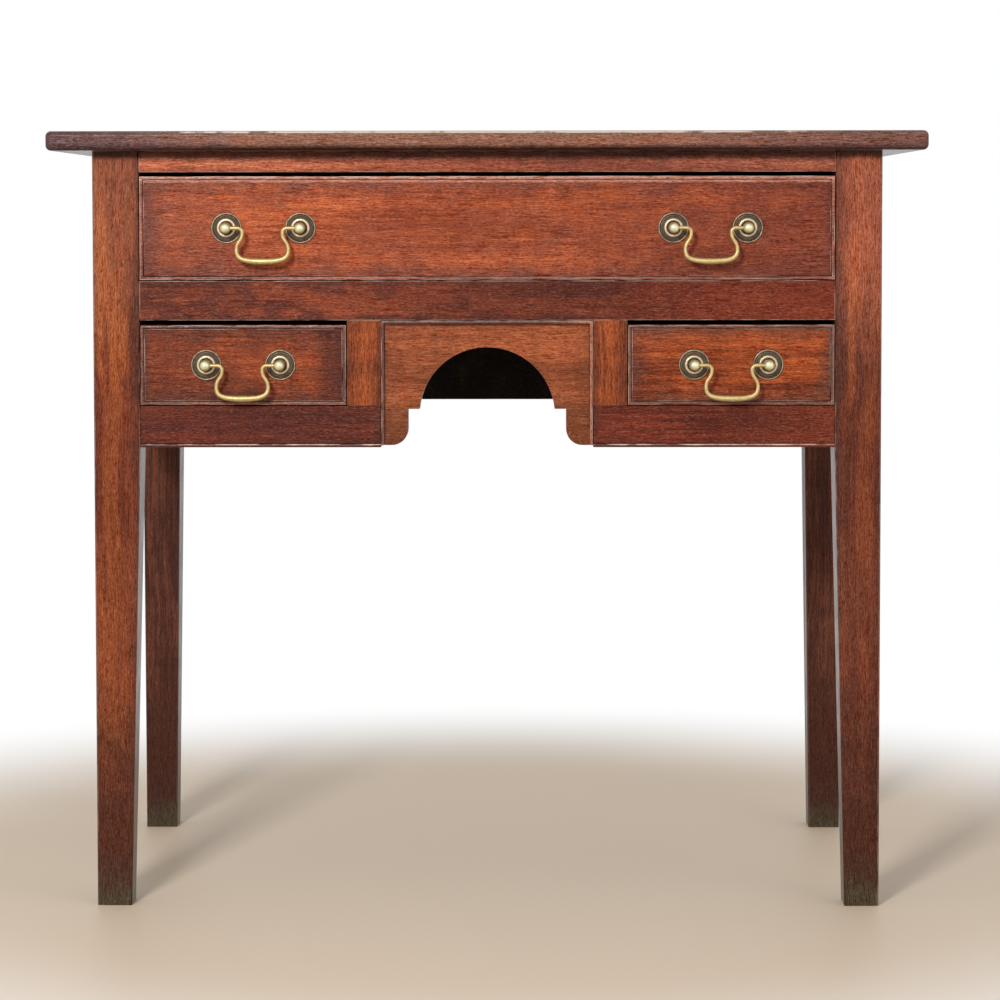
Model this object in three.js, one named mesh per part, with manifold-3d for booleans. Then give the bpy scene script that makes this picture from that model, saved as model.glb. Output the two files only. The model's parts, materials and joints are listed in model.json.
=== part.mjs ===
// Lowboy: a small dressing table with one long drawer over two short ones and an arched kneehole.
// The carcass is four tapered legs joined by tenoned rails, side panels and a back board. Each
// drawer has lapped dovetails, a bottom in grooves, a bead ring and swan-neck drop handles.
// Millimetres, +Z up, the front faces -Y, the origin is the middle of the footprint on the floor.

import * as THREE from 'three';
import { mergeVertices } from 'three/addons/utils/BufferGeometryUtils.js';
import Module from 'manifold-3d';

const wasm = await Module();
wasm.setup();

// Overall sizes
const overallWidth = 808;
const overallDepth = 462;
const overallHeight = 720;

// Top board
const topThickness = 18;
const topOverhangSide = 40;
const topOverhangFront = 22;
const topOverhangBack = 20;
const topEdgeRadius = 4;
const topCornerRadius = 5;

// Legs, squared above the apron and tapered on their two inner faces below it
const legWidth = 43;
const backLegWidth = 39;
const footWidth = 32;
const legCornerRadius = 1.6;

// Heights in the front frame, from the top board down
const topRailHeight = 19.5;
const longOpeningHeight = 100;
const middleRailHeight = 36.5;
const shortOpeningHeight = 79;
const bottomRailHeight = 38.5;

// Depths and widths in the front frame
const topRailDepth = 40;
const middleRailDepth = 34;
const bottomRailDepth = 30;
const dividerWidth = 31.5;
const kneeholeWidth = 196;

// Joints of the frame
const tenonThickness = 12;
const tenonLength = 24;
const tenonShoulder = 4;
const tenonSetback = 6;
const dividerTenonLength = 12;
const dividerTenonShoulder = 5;
const lapTailLength = 28;
const lapTailHeight = 12;
const lapTailWidth = 20;
const lapTailFlare = 4;
const stubTenonLength = 6;
const stubTenonShoulder = 4;

// Side panels and back board
const panelThickness = 18;
const panelSetback = 1.5;
const panelTongueThickness = 8;
const panelTongueLength = 10;
const panelTongueShoulder = 20;
const backThickness = 12;
const backSetback = 3;
const backTongueThickness = 6;
const backTongueLength = 8;
const backBottomRise = 21.5;

// Runners, guides, kickers and drawer stops
const runnerWidth = 20;
const runnerHeight = 20;
const guideHeight = 18;
const innerGuideThickness = 20;
const stopWidth = 30;
const stopDepth = 8;
const stopHeight = 5;
const stopPlaceShare = 0.6;

// Arch panel
const archPanelThickness = 18;
const archRadius = 62.5;
const archCentreRise = 30;
const archStepRise = 35.5;
const archStep = 10.5;
const archFootRise = 2;
const archFootRadius = 15;
const archTongueLength = 8;
const archTongueThickness = 8;
const archTongueShoulder = 12;
const archSteps = 12;

// Beads
const beadWidth = 3;
const beadDepth = 5;
const beadProud = 2.5;
const railBeadWidth = 3.4;
const railBeadProud = 1.6;
const beadSteps = 4;

// Drawers
const drawerFrontThickness = 20;
const drawerSideThickness = 8;
const drawerBackThickness = 10;
const drawerBottomThickness = 6;
const drawerBottomRaise = 8;
const drawerSideGap = 0.8;
const drawerFrontBottomGap = 1;
const drawerRunningGap = 0.3;
const longDrawerTopGap = 3.8;
const shortDrawerTopGap = 4.4;
const drawerSideDrop = 3;
const drawerBackDrop = 6;
const drawerBackRoom = 15;
const sideGrooveDepth = 4;
const frontGrooveDepth = 6;
const frontLap = 7;
const tailWidthShare = 0.58;
const tailFlareShare = 0.09;
const longDrawerTailCount = 4;
const shortDrawerTailCount = 3;

// Handles
const longHandleInset = 115;
const postSpacing = 68;
const ballRadius = 5.2;
const ballStandoff = 14;
const postNeckRadius = 2.7;
const postCollarRadius = 4.2;
const postCollarThickness = 1.4;
const postShankRadius = 2.5;
const nutWidth = 9.5;
const nutThickness = 3.5;
const threadEnd = 2;
const rosetteRadius = 14.2;
const rosetteEdge = 1.1;
const rosetteRimWidth = 2.2;
const rosetteRimHeight = 2.3;
const rosetteDishHeight = 1.2;
const rosetteRingRadius = 8.1;
const rosetteRingWidth = 1.5;
const rosetteRingHeight = 2.9;
const rosetteHubHeight = 2.2;
const bailDrop = 31;
const bailEndRadius = 1.6;
const bailMiddleRadius = 2.7;
const bailNeckHalfWidth = 19.5;
const bailNeckRadius = 4;
const bailBellyHalfWidth = 23;
const bailBellyDrop = 20;
const bailEndPast = 1.4;
const bailThinShare = 0.35;
const bailBorePast = 2;
const turnedSides = 14;
const rosetteSides = 20;
const boreSides = 10;
const bailSides = 8;
const bailSteps = 4;
const ballSteps = 5;

// Clearance of every glued fit, and how far a cutter runs past the face it opens
const fitGap = 0.3;
const overrun = 2;

// Places worked out from the sizes above
const caseTop = overallHeight - topThickness;
const caseFront = -overallDepth / 2 + topOverhangFront;
const caseBack = overallDepth / 2 - topOverhangBack;
const caseSide = overallWidth / 2 - topOverhangSide;
const legInner = caseSide - legWidth;
const backLegInner = caseSide - backLegWidth;
const frontLegBack = caseFront + legWidth;
const backLegFront = caseBack - legWidth;
const longOpeningTop = caseTop - topRailHeight;
const longOpeningBottom = longOpeningTop - longOpeningHeight;
const shortOpeningTop = longOpeningBottom - middleRailHeight;
const shortOpeningBottom = shortOpeningTop - shortOpeningHeight;
const apronBottom = shortOpeningBottom - bottomRailHeight;
const backBottom = apronBottom + backBottomRise;
const archCentreHeight = apronBottom + archCentreRise;
const archStepHeight = apronBottom + archStepRise;
const archFootHeight = apronBottom + archFootRise;
const middleRailBack = caseFront + middleRailDepth;
const bottomRailBack = caseFront + bottomRailDepth;
const kneeholeHalf = kneeholeWidth / 2;
const dividerOuter = kneeholeHalf + dividerWidth;
const panelOuter = caseSide - panelSetback;
const panelInner = panelOuter - panelThickness;
const backOuter = caseBack - backSetback;
const backInner = backOuter - backThickness;
const drawerLength = backInner - caseFront - drawerBackRoom;
const longHandleX = legInner - longHandleInset;
const tenonFront = caseFront + tenonSetback;
const tenonBack = tenonFront + tenonThickness;
const stopFront = caseFront + drawerFrontThickness + fitGap;
const boreRadius = (bailEndRadius + fitGap) / Math.cos(Math.PI / boreSides);
const shankBoreRadius = (postShankRadius + fitGap) / Math.cos(Math.PI / boreSides);

// Finishes
function finish(colour, roughness, metalness = 0) {
  return new THREE.MeshStandardMaterial({ color: colour, roughness, metalness });
}
const mahoganyTop = finish(0x835a4c, 0.32);
const mahoganyFront = finish(0x9c5138, 0.34);
const mahoganyRail = finish(0x73402f, 0.36);
const mahoganyLeg = finish(0x87472f, 0.38);
const mahoganyArch = finish(0x965236, 0.38);
const mahoganyBead = finish(0x6b3a28, 0.34);
const mahoganySide = finish(0x7d4431, 0.4);
const drawerOak = finish(0x8a6844, 0.62);
const carcassPine = finish(0x6e5138, 0.7);
const brass = finish(0xc9ab62, 0.26, 1);
const patinatedBrass = finish(0x6a4f35, 0.42, 1);

// Turns a geometry into a solid: shared vertices merged, empty triangles dropped, faces outward
function solid(geometry) {
  const bare = geometry.clone();
  bare.deleteAttribute('normal');
  bare.deleteAttribute('uv');
  const merged = mergeVertices(bare);
  const vertices = merged.attributes.position.array;
  const index = merged.index.array;
  const triangles = [];
  for (let i = 0; i < index.length; i += 3) {
    const [a, b, c] = index.slice(i, i + 3);
    if (a !== b && b !== c && c !== a) {
      triangles.push(a, b, c);
    }
  }
  if (enclosedVolume(vertices, triangles) < 0) {
    triangles.reverse();
  }
  const mesh = new wasm.Mesh({
    numProp: 3,
    vertProperties: new Float32Array(vertices),
    triVerts: new Uint32Array(triangles),
  });
  return new wasm.Manifold(mesh);
}

// Signed volume inside a set of triangles, negative where they face inward
function enclosedVolume(vertices, triangles) {
  const corner = (index) => new THREE.Vector3().fromArray(vertices, index * 3);
  let sixfold = 0;
  for (let i = 0; i < triangles.length; i += 3) {
    const [a, b, c] = triangles.slice(i, i + 3).map(corner);
    sixfold += a.dot(b.cross(c));
  }
  return sixfold / 6;
}

// Turns a solid back into a geometry
function surface(body) {
  const { vertProperties, triVerts } = body.getMesh();
  const geometry = new THREE.BufferGeometry();
  geometry.setAttribute('position', new THREE.BufferAttribute(new Float32Array(vertProperties), 3));
  geometry.setIndex(new THREE.BufferAttribute(new Uint32Array(triVerts), 1));
  geometry.computeVertexNormals();
  return geometry;
}

// Adds a named mesh to a group
function place(parent, name, body, material) {
  const mesh = new THREE.Mesh(surface(body), material);
  mesh.name = name;
  parent.add(mesh);
}

// Joins solids one after the other
function union(bodies) {
  return bodies.reduce((whole, body) => whole.add(body));
}

// Cuts a list of solids out of a body
function cut(body, cutters) {
  return cutters.reduce((rest, cutter) => rest.subtract(cutter), body);
}

// Moves each vertex of a unit geometry to the place that a rule gives it
function mapped(geometry, rule) {
  const position = geometry.attributes.position;
  for (let i = 0; i < position.count; i += 1) {
    position.setXYZ(i, ...rule(position.getX(i), position.getY(i), position.getZ(i)));
  }
  return geometry;
}

// A box between two values on each axis, given in any order
function block(xRange, yRange, zRange) {
  const pick = (range, value) => (value < 0 ? Math.min(...range) : Math.max(...range));
  const rule = (x, y, z) => [pick(xRange, x), pick(yRange, y), pick(zRange, z)];
  return solid(mapped(new THREE.BoxGeometry(1, 1, 1), rule));
}

// The ranges of a box widened on every side, for the mortice of a tenon
function widened(ranges, gap) {
  return ranges.map((range) => [Math.min(...range) - gap, Math.max(...range) + gap]);
}

// An outline in the Y-Z plane drawn out along X
function drawnAlongX(points, xRange) {
  const shape = new THREE.Shape(points.map(([y, z]) => new THREE.Vector2(y, z)));
  const geometry = new THREE.ExtrudeGeometry(shape, { depth: 1, bevelEnabled: false });
  return solid(mapped(geometry, (y, z, along) => [along > 0 ? xRange[1] : xRange[0], y, z]));
}

// A shape in the X-Z plane drawn out along Y
function drawnAlongY(shape, yRange, steps) {
  const options = { depth: 1, bevelEnabled: false, curveSegments: steps };
  const geometry = new THREE.ExtrudeGeometry(shape, options);
  return solid(mapped(geometry, (x, z, along) => [x, along > 0 ? yRange[1] : yRange[0], z]));
}

// An outline in the X-Y plane drawn out along Z
function drawnAlongZ(points, zRange) {
  const shape = new THREE.Shape(points.map(([x, y]) => new THREE.Vector2(x, y)));
  const geometry = new THREE.ExtrudeGeometry(shape, { depth: 1, bevelEnabled: false });
  return solid(mapped(geometry, (x, y, along) => [x, y, along > 0 ? zRange[1] : zRange[0]]));
}

// A round bar along X or Y
function bar(axis, radius, range, centre, sides) {
  const length = Math.abs(range[1] - range[0]);
  const geometry = new THREE.CylinderGeometry(radius, radius, length, sides);
  const middle = (range[0] + range[1]) / 2;
  if (axis === 'x') {
    geometry.rotateZ(Math.PI / 2);
    geometry.translate(middle, centre[0], centre[1]);
  } else {
    geometry.translate(centre[0], middle, centre[1]);
  }
  return solid(geometry);
}

// Joins rings of equal count into a skin; the ends are capped unless the last ring meets the first
function skinned(rings, closed) {
  const count = rings[0].length;
  const triangles = [];
  const last = closed ? rings.length : rings.length - 1;
  for (let i = 0; i < last; i += 1) {
    const from = i * count;
    const to = ((i + 1) % rings.length) * count;
    for (let j = 0; j < count; j += 1) {
      const next = (j + 1) % count;
      triangles.push(from + j, from + next, to + next);
      triangles.push(from + j, to + next, to + j);
    }
  }
  if (!closed) {
    const end = (rings.length - 1) * count;
    for (let j = 1; j < count - 1; j += 1) {
      triangles.push(0, j + 1, j);
      triangles.push(end, end + j, end + j + 1);
    }
  }
  const geometry = new THREE.BufferGeometry();
  geometry.setAttribute('position', new THREE.Float32BufferAttribute(rings.flat(2), 3));
  geometry.setIndex(triangles);
  return solid(geometry);
}

// A level ring around a rectangle with rounded corners
function roundedRing(xRange, yRange, height, radius, steps) {
  const [left, right] = [Math.min(...xRange) + radius, Math.max(...xRange) - radius];
  const [front, back] = [Math.min(...yRange) + radius, Math.max(...yRange) - radius];
  const centres = [[right, back], [left, back], [left, front], [right, front]];
  return centres.flatMap(([x, y], quarter) => {
    const arc = [];
    for (let i = 0; i <= steps; i += 1) {
      const angle = (quarter + i / steps) * Math.PI / 2;
      arc.push([x + radius * Math.cos(angle), y + radius * Math.sin(angle), height]);
    }
    return arc;
  });
}

// Outline of one dovetail along a level direction: it starts the overrun before its root and
// flares to its tip; a gap widens it into its socket
function dovetail(root, tip, centre, rootHalf, flare, gap) {
  const out = Math.sign(tip - root);
  const narrow = rootHalf + gap;
  const wide = rootHalf + flare + gap;
  const end = tip + out * gap;
  return [
    [root - out * overrun, centre - narrow],
    [root, centre - narrow],
    [end, centre - wide],
    [end, centre + wide],
    [root, centre + narrow],
    [root - out * overrun, centre + narrow],
  ];
}

// Cross-section of a bead: inset across its width, then depth, with a half-round nose
function beadSection(width, back, nose) {
  const radius = width / 2;
  const points = [[0, back], [width, back]];
  for (let i = 0; i <= beadSteps; i += 1) {
    const angle = (i / beadSteps) * Math.PI;
    points.push([radius + radius * Math.cos(angle), nose + radius - radius * Math.sin(angle)]);
  }
  return points;
}

// Runs a bead section along corners in the X-Z plane, mitred at each, inset to the left of travel
function mitredBead(corners, section, closed) {
  const count = corners.length;
  const points = corners.map(([x, z]) => new THREE.Vector2(x, z));
  const inward = (from, to) => {
    const along = points[to].clone().sub(points[from]).normalize();
    return new THREE.Vector2(-along.y, along.x);
  };
  const rings = points.map((point, i) => {
    const before = i > 0 || closed ? inward((i + count - 1) % count, i) : inward(i, i + 1);
    const after = i < count - 1 || closed ? inward(i, (i + 1) % count) : before;
    const mitre = before.clone().add(after).divideScalar(1 + before.dot(after));
    return section.map(([inset, depth]) => {
      const moved = point.clone().addScaledVector(mitre, inset);
      return [moved.x, depth, moved.y];
    });
  });
  return skinned(rings, closed);
}

const lowboy = new THREE.Group();

// Top board: level rings with rounded upper and lower edges
function makeTopBoard() {
  const rings = [];
  const edgeSteps = 3;
  const addRing = (height, inset) => {
    const x = overallWidth / 2 - inset;
    const y = overallDepth / 2 - inset;
    rings.push(roundedRing([-x, x], [-y, y], height, topCornerRadius, edgeSteps));
  };
  for (let i = 0; i <= edgeSteps; i += 1) {
    const angle = (i / edgeSteps) * Math.PI / 2;
    addRing(caseTop + topEdgeRadius * (1 - Math.cos(angle)), topEdgeRadius * (1 - Math.sin(angle)));
  }
  for (let i = 0; i <= edgeSteps; i += 1) {
    const angle = (i / edgeSteps) * Math.PI / 2;
    addRing(overallHeight - topEdgeRadius * (1 - Math.sin(angle)), topEdgeRadius * (1 - Math.cos(angle)));
  }
  return skinned(rings, false);
}
place(lowboy, 'top_board', makeTopBoard(), mahoganyTop);

// Boxes of the tenons on the right-hand half; each piece and its mortice use the same box
const middleTenon = [
  [legInner, legInner + tenonLength],
  [tenonFront, tenonBack],
  [shortOpeningTop + tenonShoulder, longOpeningBottom - tenonShoulder],
];
const bottomTenon = [
  [legInner, legInner + tenonLength],
  [tenonFront, tenonBack],
  [apronBottom + tenonShoulder, shortOpeningBottom - tenonShoulder],
];
const backTongue = [
  [backLegInner, backLegInner + backTongueLength],
  [(backInner + backOuter - backTongueThickness) / 2, (backInner + backOuter + backTongueThickness) / 2],
  [backBottom + tenonShoulder, caseTop - tenonShoulder],
];
const panelTongueX = [
  (panelInner + panelOuter - panelTongueThickness) / 2,
  (panelInner + panelOuter + panelTongueThickness) / 2,
];
const panelTongueZ = [apronBottom + panelTongueShoulder, caseTop - panelTongueShoulder];
const frontPanelTongue = [panelTongueX, [frontLegBack - panelTongueLength, frontLegBack], panelTongueZ];
const backPanelTongue = [panelTongueX, [backLegFront, backLegFront + panelTongueLength], panelTongueZ];

// The same box on either side of the middle
function onSide(side, [x, y, z]) {
  return [x.map((value) => side * value), y, z];
}

// A tenon box reaches the overrun back into its own piece, a mortice is wider by the fit
function tenon(side, ranges, axis, direction) {
  const rooted = ranges.map((range) => [...range]);
  const end = direction > 0 ? 0 : 1;
  rooted[axis][end] -= direction * overrun;
  return block(...onSide(side, rooted));
}
function mortice(side, ranges) {
  return block(...onSide(side, widened(ranges, fitGap)));
}

// Lapped dovetail on the ends of the top rail, seen from above
function topRailTail(side, gap) {
  const centre = caseFront + topRailDepth / 2;
  const root = side * legInner;
  const tip = side * (legInner + lapTailLength);
  const outline = dovetail(root, tip, centre, lapTailWidth / 2, lapTailFlare, gap);
  const upper = gap > 0 ? caseTop + overrun : caseTop;
  return drawnAlongZ(outline, [caseTop - lapTailHeight - gap, upper]);
}

// Legs
function makeLeg(side, front) {
  const outerX = side * caseSide;
  const outerY = front ? caseFront : caseBack;
  const inward = front ? 1 : -1;
  const upperWidth = front ? legWidth : backLegWidth;
  const levels = [
    [0, footWidth, footWidth],
    [apronBottom, upperWidth, legWidth],
    [caseTop, upperWidth, legWidth],
  ];
  const cornerSteps = 2;
  const rings = levels.map(([height, width, depth]) => roundedRing(
    [outerX, outerX - side * width],
    [outerY, outerY + inward * depth],
    height,
    legCornerRadius,
    cornerSteps,
  ));
  const cutters = front
    ? [mortice(side, middleTenon), mortice(side, bottomTenon), mortice(side, frontPanelTongue),
      topRailTail(side, fitGap)]
    : [mortice(side, backTongue), mortice(side, backPanelTongue)];
  return cut(skinned(rings, false), cutters);
}

// Side panels, with the strip under the top board that keeps the long drawer from tipping
function makeSidePanel(side) {
  const board = block(...onSide(side, [
    [panelInner, panelOuter],
    [frontLegBack, backLegFront],
    [apronBottom, caseTop],
  ]));
  const kicker = block(...onSide(side, [
    [legInner - runnerWidth, panelInner + overrun],
    [frontLegBack, backLegFront],
    [longOpeningTop, caseTop],
  ]));
  const tongues = [tenon(side, frontPanelTongue, 1, -1), tenon(side, backPanelTongue, 1, 1)];
  return union([board, kicker, ...tongues]);
}

for (const [side, word] of [[-1, 'left'], [1, 'right']]) {
  place(lowboy, `leg_front_${word}`, makeLeg(side, true), mahoganyLeg);
  place(lowboy, `leg_back_${word}`, makeLeg(side, false), mahoganyLeg);
  place(lowboy, `side_panel_${word}`, makeSidePanel(side), mahoganySide);
}

// Stub tenons at the two ends of the inner runners, into the bottom rail and the back board
const innerRunnerX = [dividerOuter - innerGuideThickness, dividerOuter + runnerWidth];
const stubX = [innerRunnerX[0] + stubTenonShoulder, dividerOuter - stubTenonShoulder];
const frontStub = [
  stubX,
  [bottomRailBack - stubTenonLength, bottomRailBack],
  [shortOpeningBottom - runnerHeight + stubTenonShoulder, shortOpeningBottom - stubTenonShoulder],
];
const backStub = [
  stubX,
  [backInner, backInner + stubTenonLength],
  [backBottom + stubTenonShoulder, shortOpeningBottom - stubTenonShoulder],
];

// Stub tenons of the long drawer's runners, into the back of the middle rail
const longStub = [
  [legInner - runnerWidth + stubTenonShoulder, legInner - stubTenonShoulder],
  [middleRailBack - stubTenonLength, middleRailBack],
  [shortOpeningTop + stubTenonShoulder, longOpeningBottom - stubTenonShoulder],
];

// Tenons of the dividers, up into the middle rail and down into the bottom rail
const dividerTenonX = [kneeholeHalf + dividerTenonShoulder, dividerOuter - dividerTenonShoulder];
const upperDividerTenon = [
  dividerTenonX,
  [tenonFront, tenonBack],
  [shortOpeningTop, shortOpeningTop + dividerTenonLength],
];
const lowerDividerTenon = [
  dividerTenonX,
  [tenonFront, tenonBack],
  [shortOpeningBottom - dividerTenonLength, shortOpeningBottom],
];

// Tongue on the top of the arch panel
const archTongueHalf = kneeholeHalf - archTongueShoulder;
const archTongueBack = caseFront + archPanelThickness - (archPanelThickness - archTongueThickness) / 2;
const archTongue = [
  [-archTongueHalf, archTongueHalf],
  [archTongueBack - archTongueThickness, archTongueBack],
  [shortOpeningTop, shortOpeningTop + archTongueLength],
];

// Back board
const backBoard = union([
  block([-backLegInner, backLegInner], [backInner, backOuter], [backBottom, caseTop]),
  tenon(1, backTongue, 0, 1),
  block([-backLegInner - backTongueLength, overrun - backLegInner], backTongue[1], backTongue[2]),
]);
place(lowboy, 'back_board', cut(backBoard, [mortice(1, backStub), mortice(-1, backStub)]), carcassPine);

// Top rail
const topRail = union([
  block([-legInner, legInner], [caseFront, caseFront + topRailDepth], [longOpeningTop, caseTop]),
  topRailTail(1, 0),
  topRailTail(-1, 0),
]);
place(lowboy, 'top_rail', topRail, mahoganyRail);

// A drawer stop, glued on a rail just behind the drawer front
function drawerStop(centre, height) {
  return block(
    [centre - stopWidth / 2, centre + stopWidth / 2],
    [stopFront, stopFront + stopDepth],
    [height - overrun, height + stopHeight],
  );
}

// Middle rail
function makeMiddleRail() {
  const rail = union([
    block([-legInner, legInner], [caseFront, middleRailBack], [shortOpeningTop, longOpeningBottom]),
    ...[-1, 1].map((side) => tenonOnRail(side, middleTenon)),
    ...[-1, 1].map((side) => drawerStop(side * legInner * stopPlaceShare, longOpeningBottom)),
  ]);
  return cut(rail, [
    mortice(1, archTongue),
    ...[-1, 1].map((side) => mortice(side, upperDividerTenon)),
    ...[-1, 1].map((side) => mortice(side, longStub)),
  ]);
}

// A rail's tenon, rooted in the rail on its own side
function tenonOnRail(side, ranges) {
  return tenon(side, ranges, 0, 1);
}
place(lowboy, 'middle_rail', makeMiddleRail(), mahoganyRail);

// Bottom rails: a bead runs along the lower front edge
function makeBottomRail(side) {
  const radius = railBeadWidth / 2;
  const beadFront = caseFront - railBeadProud;
  const outline = [
    [bottomRailBack, apronBottom],
    [bottomRailBack, shortOpeningBottom],
    [caseFront, shortOpeningBottom],
    [caseFront, apronBottom + railBeadWidth],
  ];
  for (let i = 0; i <= beadSteps; i += 1) {
    const angle = (i / beadSteps) * Math.PI;
    const height = apronBottom + radius + radius * Math.cos(angle);
    outline.push([beadFront + radius - radius * Math.sin(angle), height]);
  }
  const ends = [side * kneeholeHalf, side * legInner].sort((a, b) => a - b);
  const stop = drawerStop(side * (dividerOuter + legInner) / 2, shortOpeningBottom);
  const rail = union([drawnAlongX(outline, ends), tenonOnRail(side, bottomTenon), stop]);
  return cut(rail, [mortice(side, lowerDividerTenon), mortice(side, frontStub)]);
}

// Dividers between the short drawers and the kneehole
function makeDivider(side) {
  const post = block(...onSide(side, [
    [kneeholeHalf, dividerOuter],
    [caseFront, bottomRailBack],
    [shortOpeningBottom, shortOpeningTop],
  ]));
  const upper = tenon(side, upperDividerTenon, 2, 1);
  const lower = tenon(side, lowerDividerTenon, 2, -1);
  return union([post, upper, lower]);
}

// Runners of the long drawer, against the side panels, with a guide strip on top
function makeLongRunner(side) {
  const heights = [shortOpeningTop, longOpeningBottom];
  const pieces = [
    [[legInner - runnerWidth, legInner], [middleRailBack, backInner], heights],
    [[legInner - overrun, panelInner], [frontLegBack, backLegFront], heights],
    [
      [legInner, panelInner],
      [frontLegBack, backLegFront],
      [longOpeningBottom - overrun, longOpeningBottom + guideHeight],
    ],
  ];
  return union([
    ...pieces.map((ranges) => block(...onSide(side, ranges))),
    tenon(side, longStub, 1, -1),
  ]);
}

// Outer runners of the short drawers, against the side panels
function makeOuterRunner(side) {
  const heights = [shortOpeningBottom - runnerHeight, shortOpeningBottom];
  const pieces = [
    [[legInner - runnerWidth, legInner], [bottomRailBack, backInner], heights],
    [[legInner - overrun, panelInner], [frontLegBack, backLegFront], heights],
    [
      [legInner, panelInner],
      [frontLegBack, backLegFront],
      [shortOpeningBottom - overrun, shortOpeningBottom + guideHeight],
    ],
  ];
  return union(pieces.map((ranges) => block(...onSide(side, ranges))));
}

// Inner runners of the short drawers: runner below, guide board beside, kicker above
function makeInnerRunner(side) {
  const guideX = [innerRunnerX[0], dividerOuter];
  const pieces = [
    [innerRunnerX, [bottomRailBack, backInner], [shortOpeningBottom - runnerHeight, shortOpeningBottom]],
    [guideX, [bottomRailBack, backInner], [shortOpeningBottom - overrun, shortOpeningTop]],
    [guideX, [middleRailBack, backInner], [shortOpeningTop - overrun, shortOpeningTop + overrun]],
    [innerRunnerX, [middleRailBack, backInner], [shortOpeningTop, shortOpeningTop + runnerHeight]],
  ];
  return union([
    ...pieces.map((ranges) => block(...onSide(side, ranges))),
    tenon(side, frontStub, 1, -1),
    tenon(side, backStub, 1, 1),
  ]);
}

for (const [side, word] of [[-1, 'left'], [1, 'right']]) {
  place(lowboy, `bottom_rail_${word}`, makeBottomRail(side), mahoganyRail);
  place(lowboy, `divider_${word}`, makeDivider(side), mahoganyArch);
  place(lowboy, `long_runner_${word}`, makeLongRunner(side), carcassPine);
  place(lowboy, `short_runner_outer_${word}`, makeOuterRunner(side), carcassPine);
  place(lowboy, `short_runner_inner_${word}`, makeInnerRunner(side), carcassPine);
}

// Arch panel: a round arch that steps out above its centre to two feet with rounded inner corners
const archHalf = kneeholeHalf - fitGap;
const archFootInner = archRadius + archStep;
function makeArchPanel() {
  const shape = new THREE.Shape();
  const roundHeight = archFootHeight + archFootRadius;
  const stepAngle = Math.asin((archStepHeight - archCentreHeight) / archRadius);
  shape.moveTo(archHalf, archFootHeight);
  shape.lineTo(archHalf, shortOpeningTop);
  shape.lineTo(-archHalf, shortOpeningTop);
  shape.lineTo(-archHalf, archFootHeight);
  shape.lineTo(-archFootInner - archFootRadius, archFootHeight);
  shape.absarc(-archFootInner - archFootRadius, roundHeight, archFootRadius, -Math.PI / 2, 0, false);
  shape.lineTo(-archFootInner, archStepHeight);
  shape.absarc(0, archCentreHeight, archRadius, Math.PI - stepAngle, stepAngle, true);
  shape.lineTo(archFootInner, archStepHeight);
  shape.lineTo(archFootInner, roundHeight);
  shape.absarc(archFootInner + archFootRadius, roundHeight, archFootRadius, Math.PI, Math.PI * 1.5, false);
  const board = drawnAlongY(shape, [caseFront + archPanelThickness, caseFront], archSteps);
  const panel = board.add(tenon(1, archTongue, 2, 1));
  const rebateX = archHalf - beadWidth - fitGap;
  const rebateY = [caseFront - overrun, caseFront + beadDepth + fitGap];
  const rebateZ = [archFootHeight - overrun, shortOpeningTop + overrun];
  return cut(panel, [
    block([rebateX, archHalf + overrun], rebateY, rebateZ),
    block([-archHalf - overrun, -rebateX], rebateY, rebateZ),
    block([-archHalf, archHalf], rebateY, [shortOpeningTop - beadWidth - fitGap * 2, rebateZ[1]]),
  ]);
}
place(lowboy, 'arch_panel', makeArchPanel(), mahoganyArch);

// Bead up the two sides of the arch panel and across its top
const archBeadTop = shortOpeningTop - fitGap;
const archBead = mitredBead(
  [
    [archHalf, archFootHeight],
    [archHalf, archBeadTop],
    [-archHalf, archBeadTop],
    [-archHalf, archFootHeight],
  ],
  beadSection(beadWidth, caseFront + beadDepth, caseFront - beadProud),
  false,
);
place(lowboy, 'arch_bead', archBead, mahoganyBead);

// One turned post: ball, neck and collar outside the drawer front, shank through it, square nut
function makePost(side) {
  const profile = [];
  const neckAngle = Math.asin(postNeckRadius / ballRadius);
  for (let i = 0; i <= ballSteps; i += 1) {
    const angle = (i / ballSteps) * (Math.PI - neckAngle);
    profile.push([ballRadius * Math.sin(angle), -ballStandoff - ballRadius * Math.cos(angle)]);
  }
  const collarFront = -rosetteHubHeight - postCollarThickness;
  profile.push([postNeckRadius, collarFront - postCollarThickness]);
  profile.push([postCollarRadius, collarFront]);
  profile.push([postCollarRadius, -rosetteHubHeight]);
  profile.push([postShankRadius, -rosetteHubHeight]);
  profile.push([postShankRadius, drawerFrontThickness + nutThickness + threadEnd]);
  profile.push([0, drawerFrontThickness + nutThickness + threadEnd]);
  const turned = turnedBody(profile, turnedSides);
  const nut = block(
    [-nutWidth / 2, nutWidth / 2],
    [drawerFrontThickness, drawerFrontThickness + nutThickness],
    [-nutWidth / 2, nutWidth / 2],
  );
  const bore = bar(
    'x',
    boreRadius,
    [-side * (ballRadius + overrun), side * bailBorePast],
    [-ballStandoff, 0],
    boreSides,
  );
  return turned.add(nut).subtract(bore);
}

// Turns a profile of radius and depth about the Y axis
function turnedBody(profile, sides) {
  const points = profile.map(([radius, depth]) => new THREE.Vector2(radius, depth));
  return solid(new THREE.LatheGeometry(points, sides));
}

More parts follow.
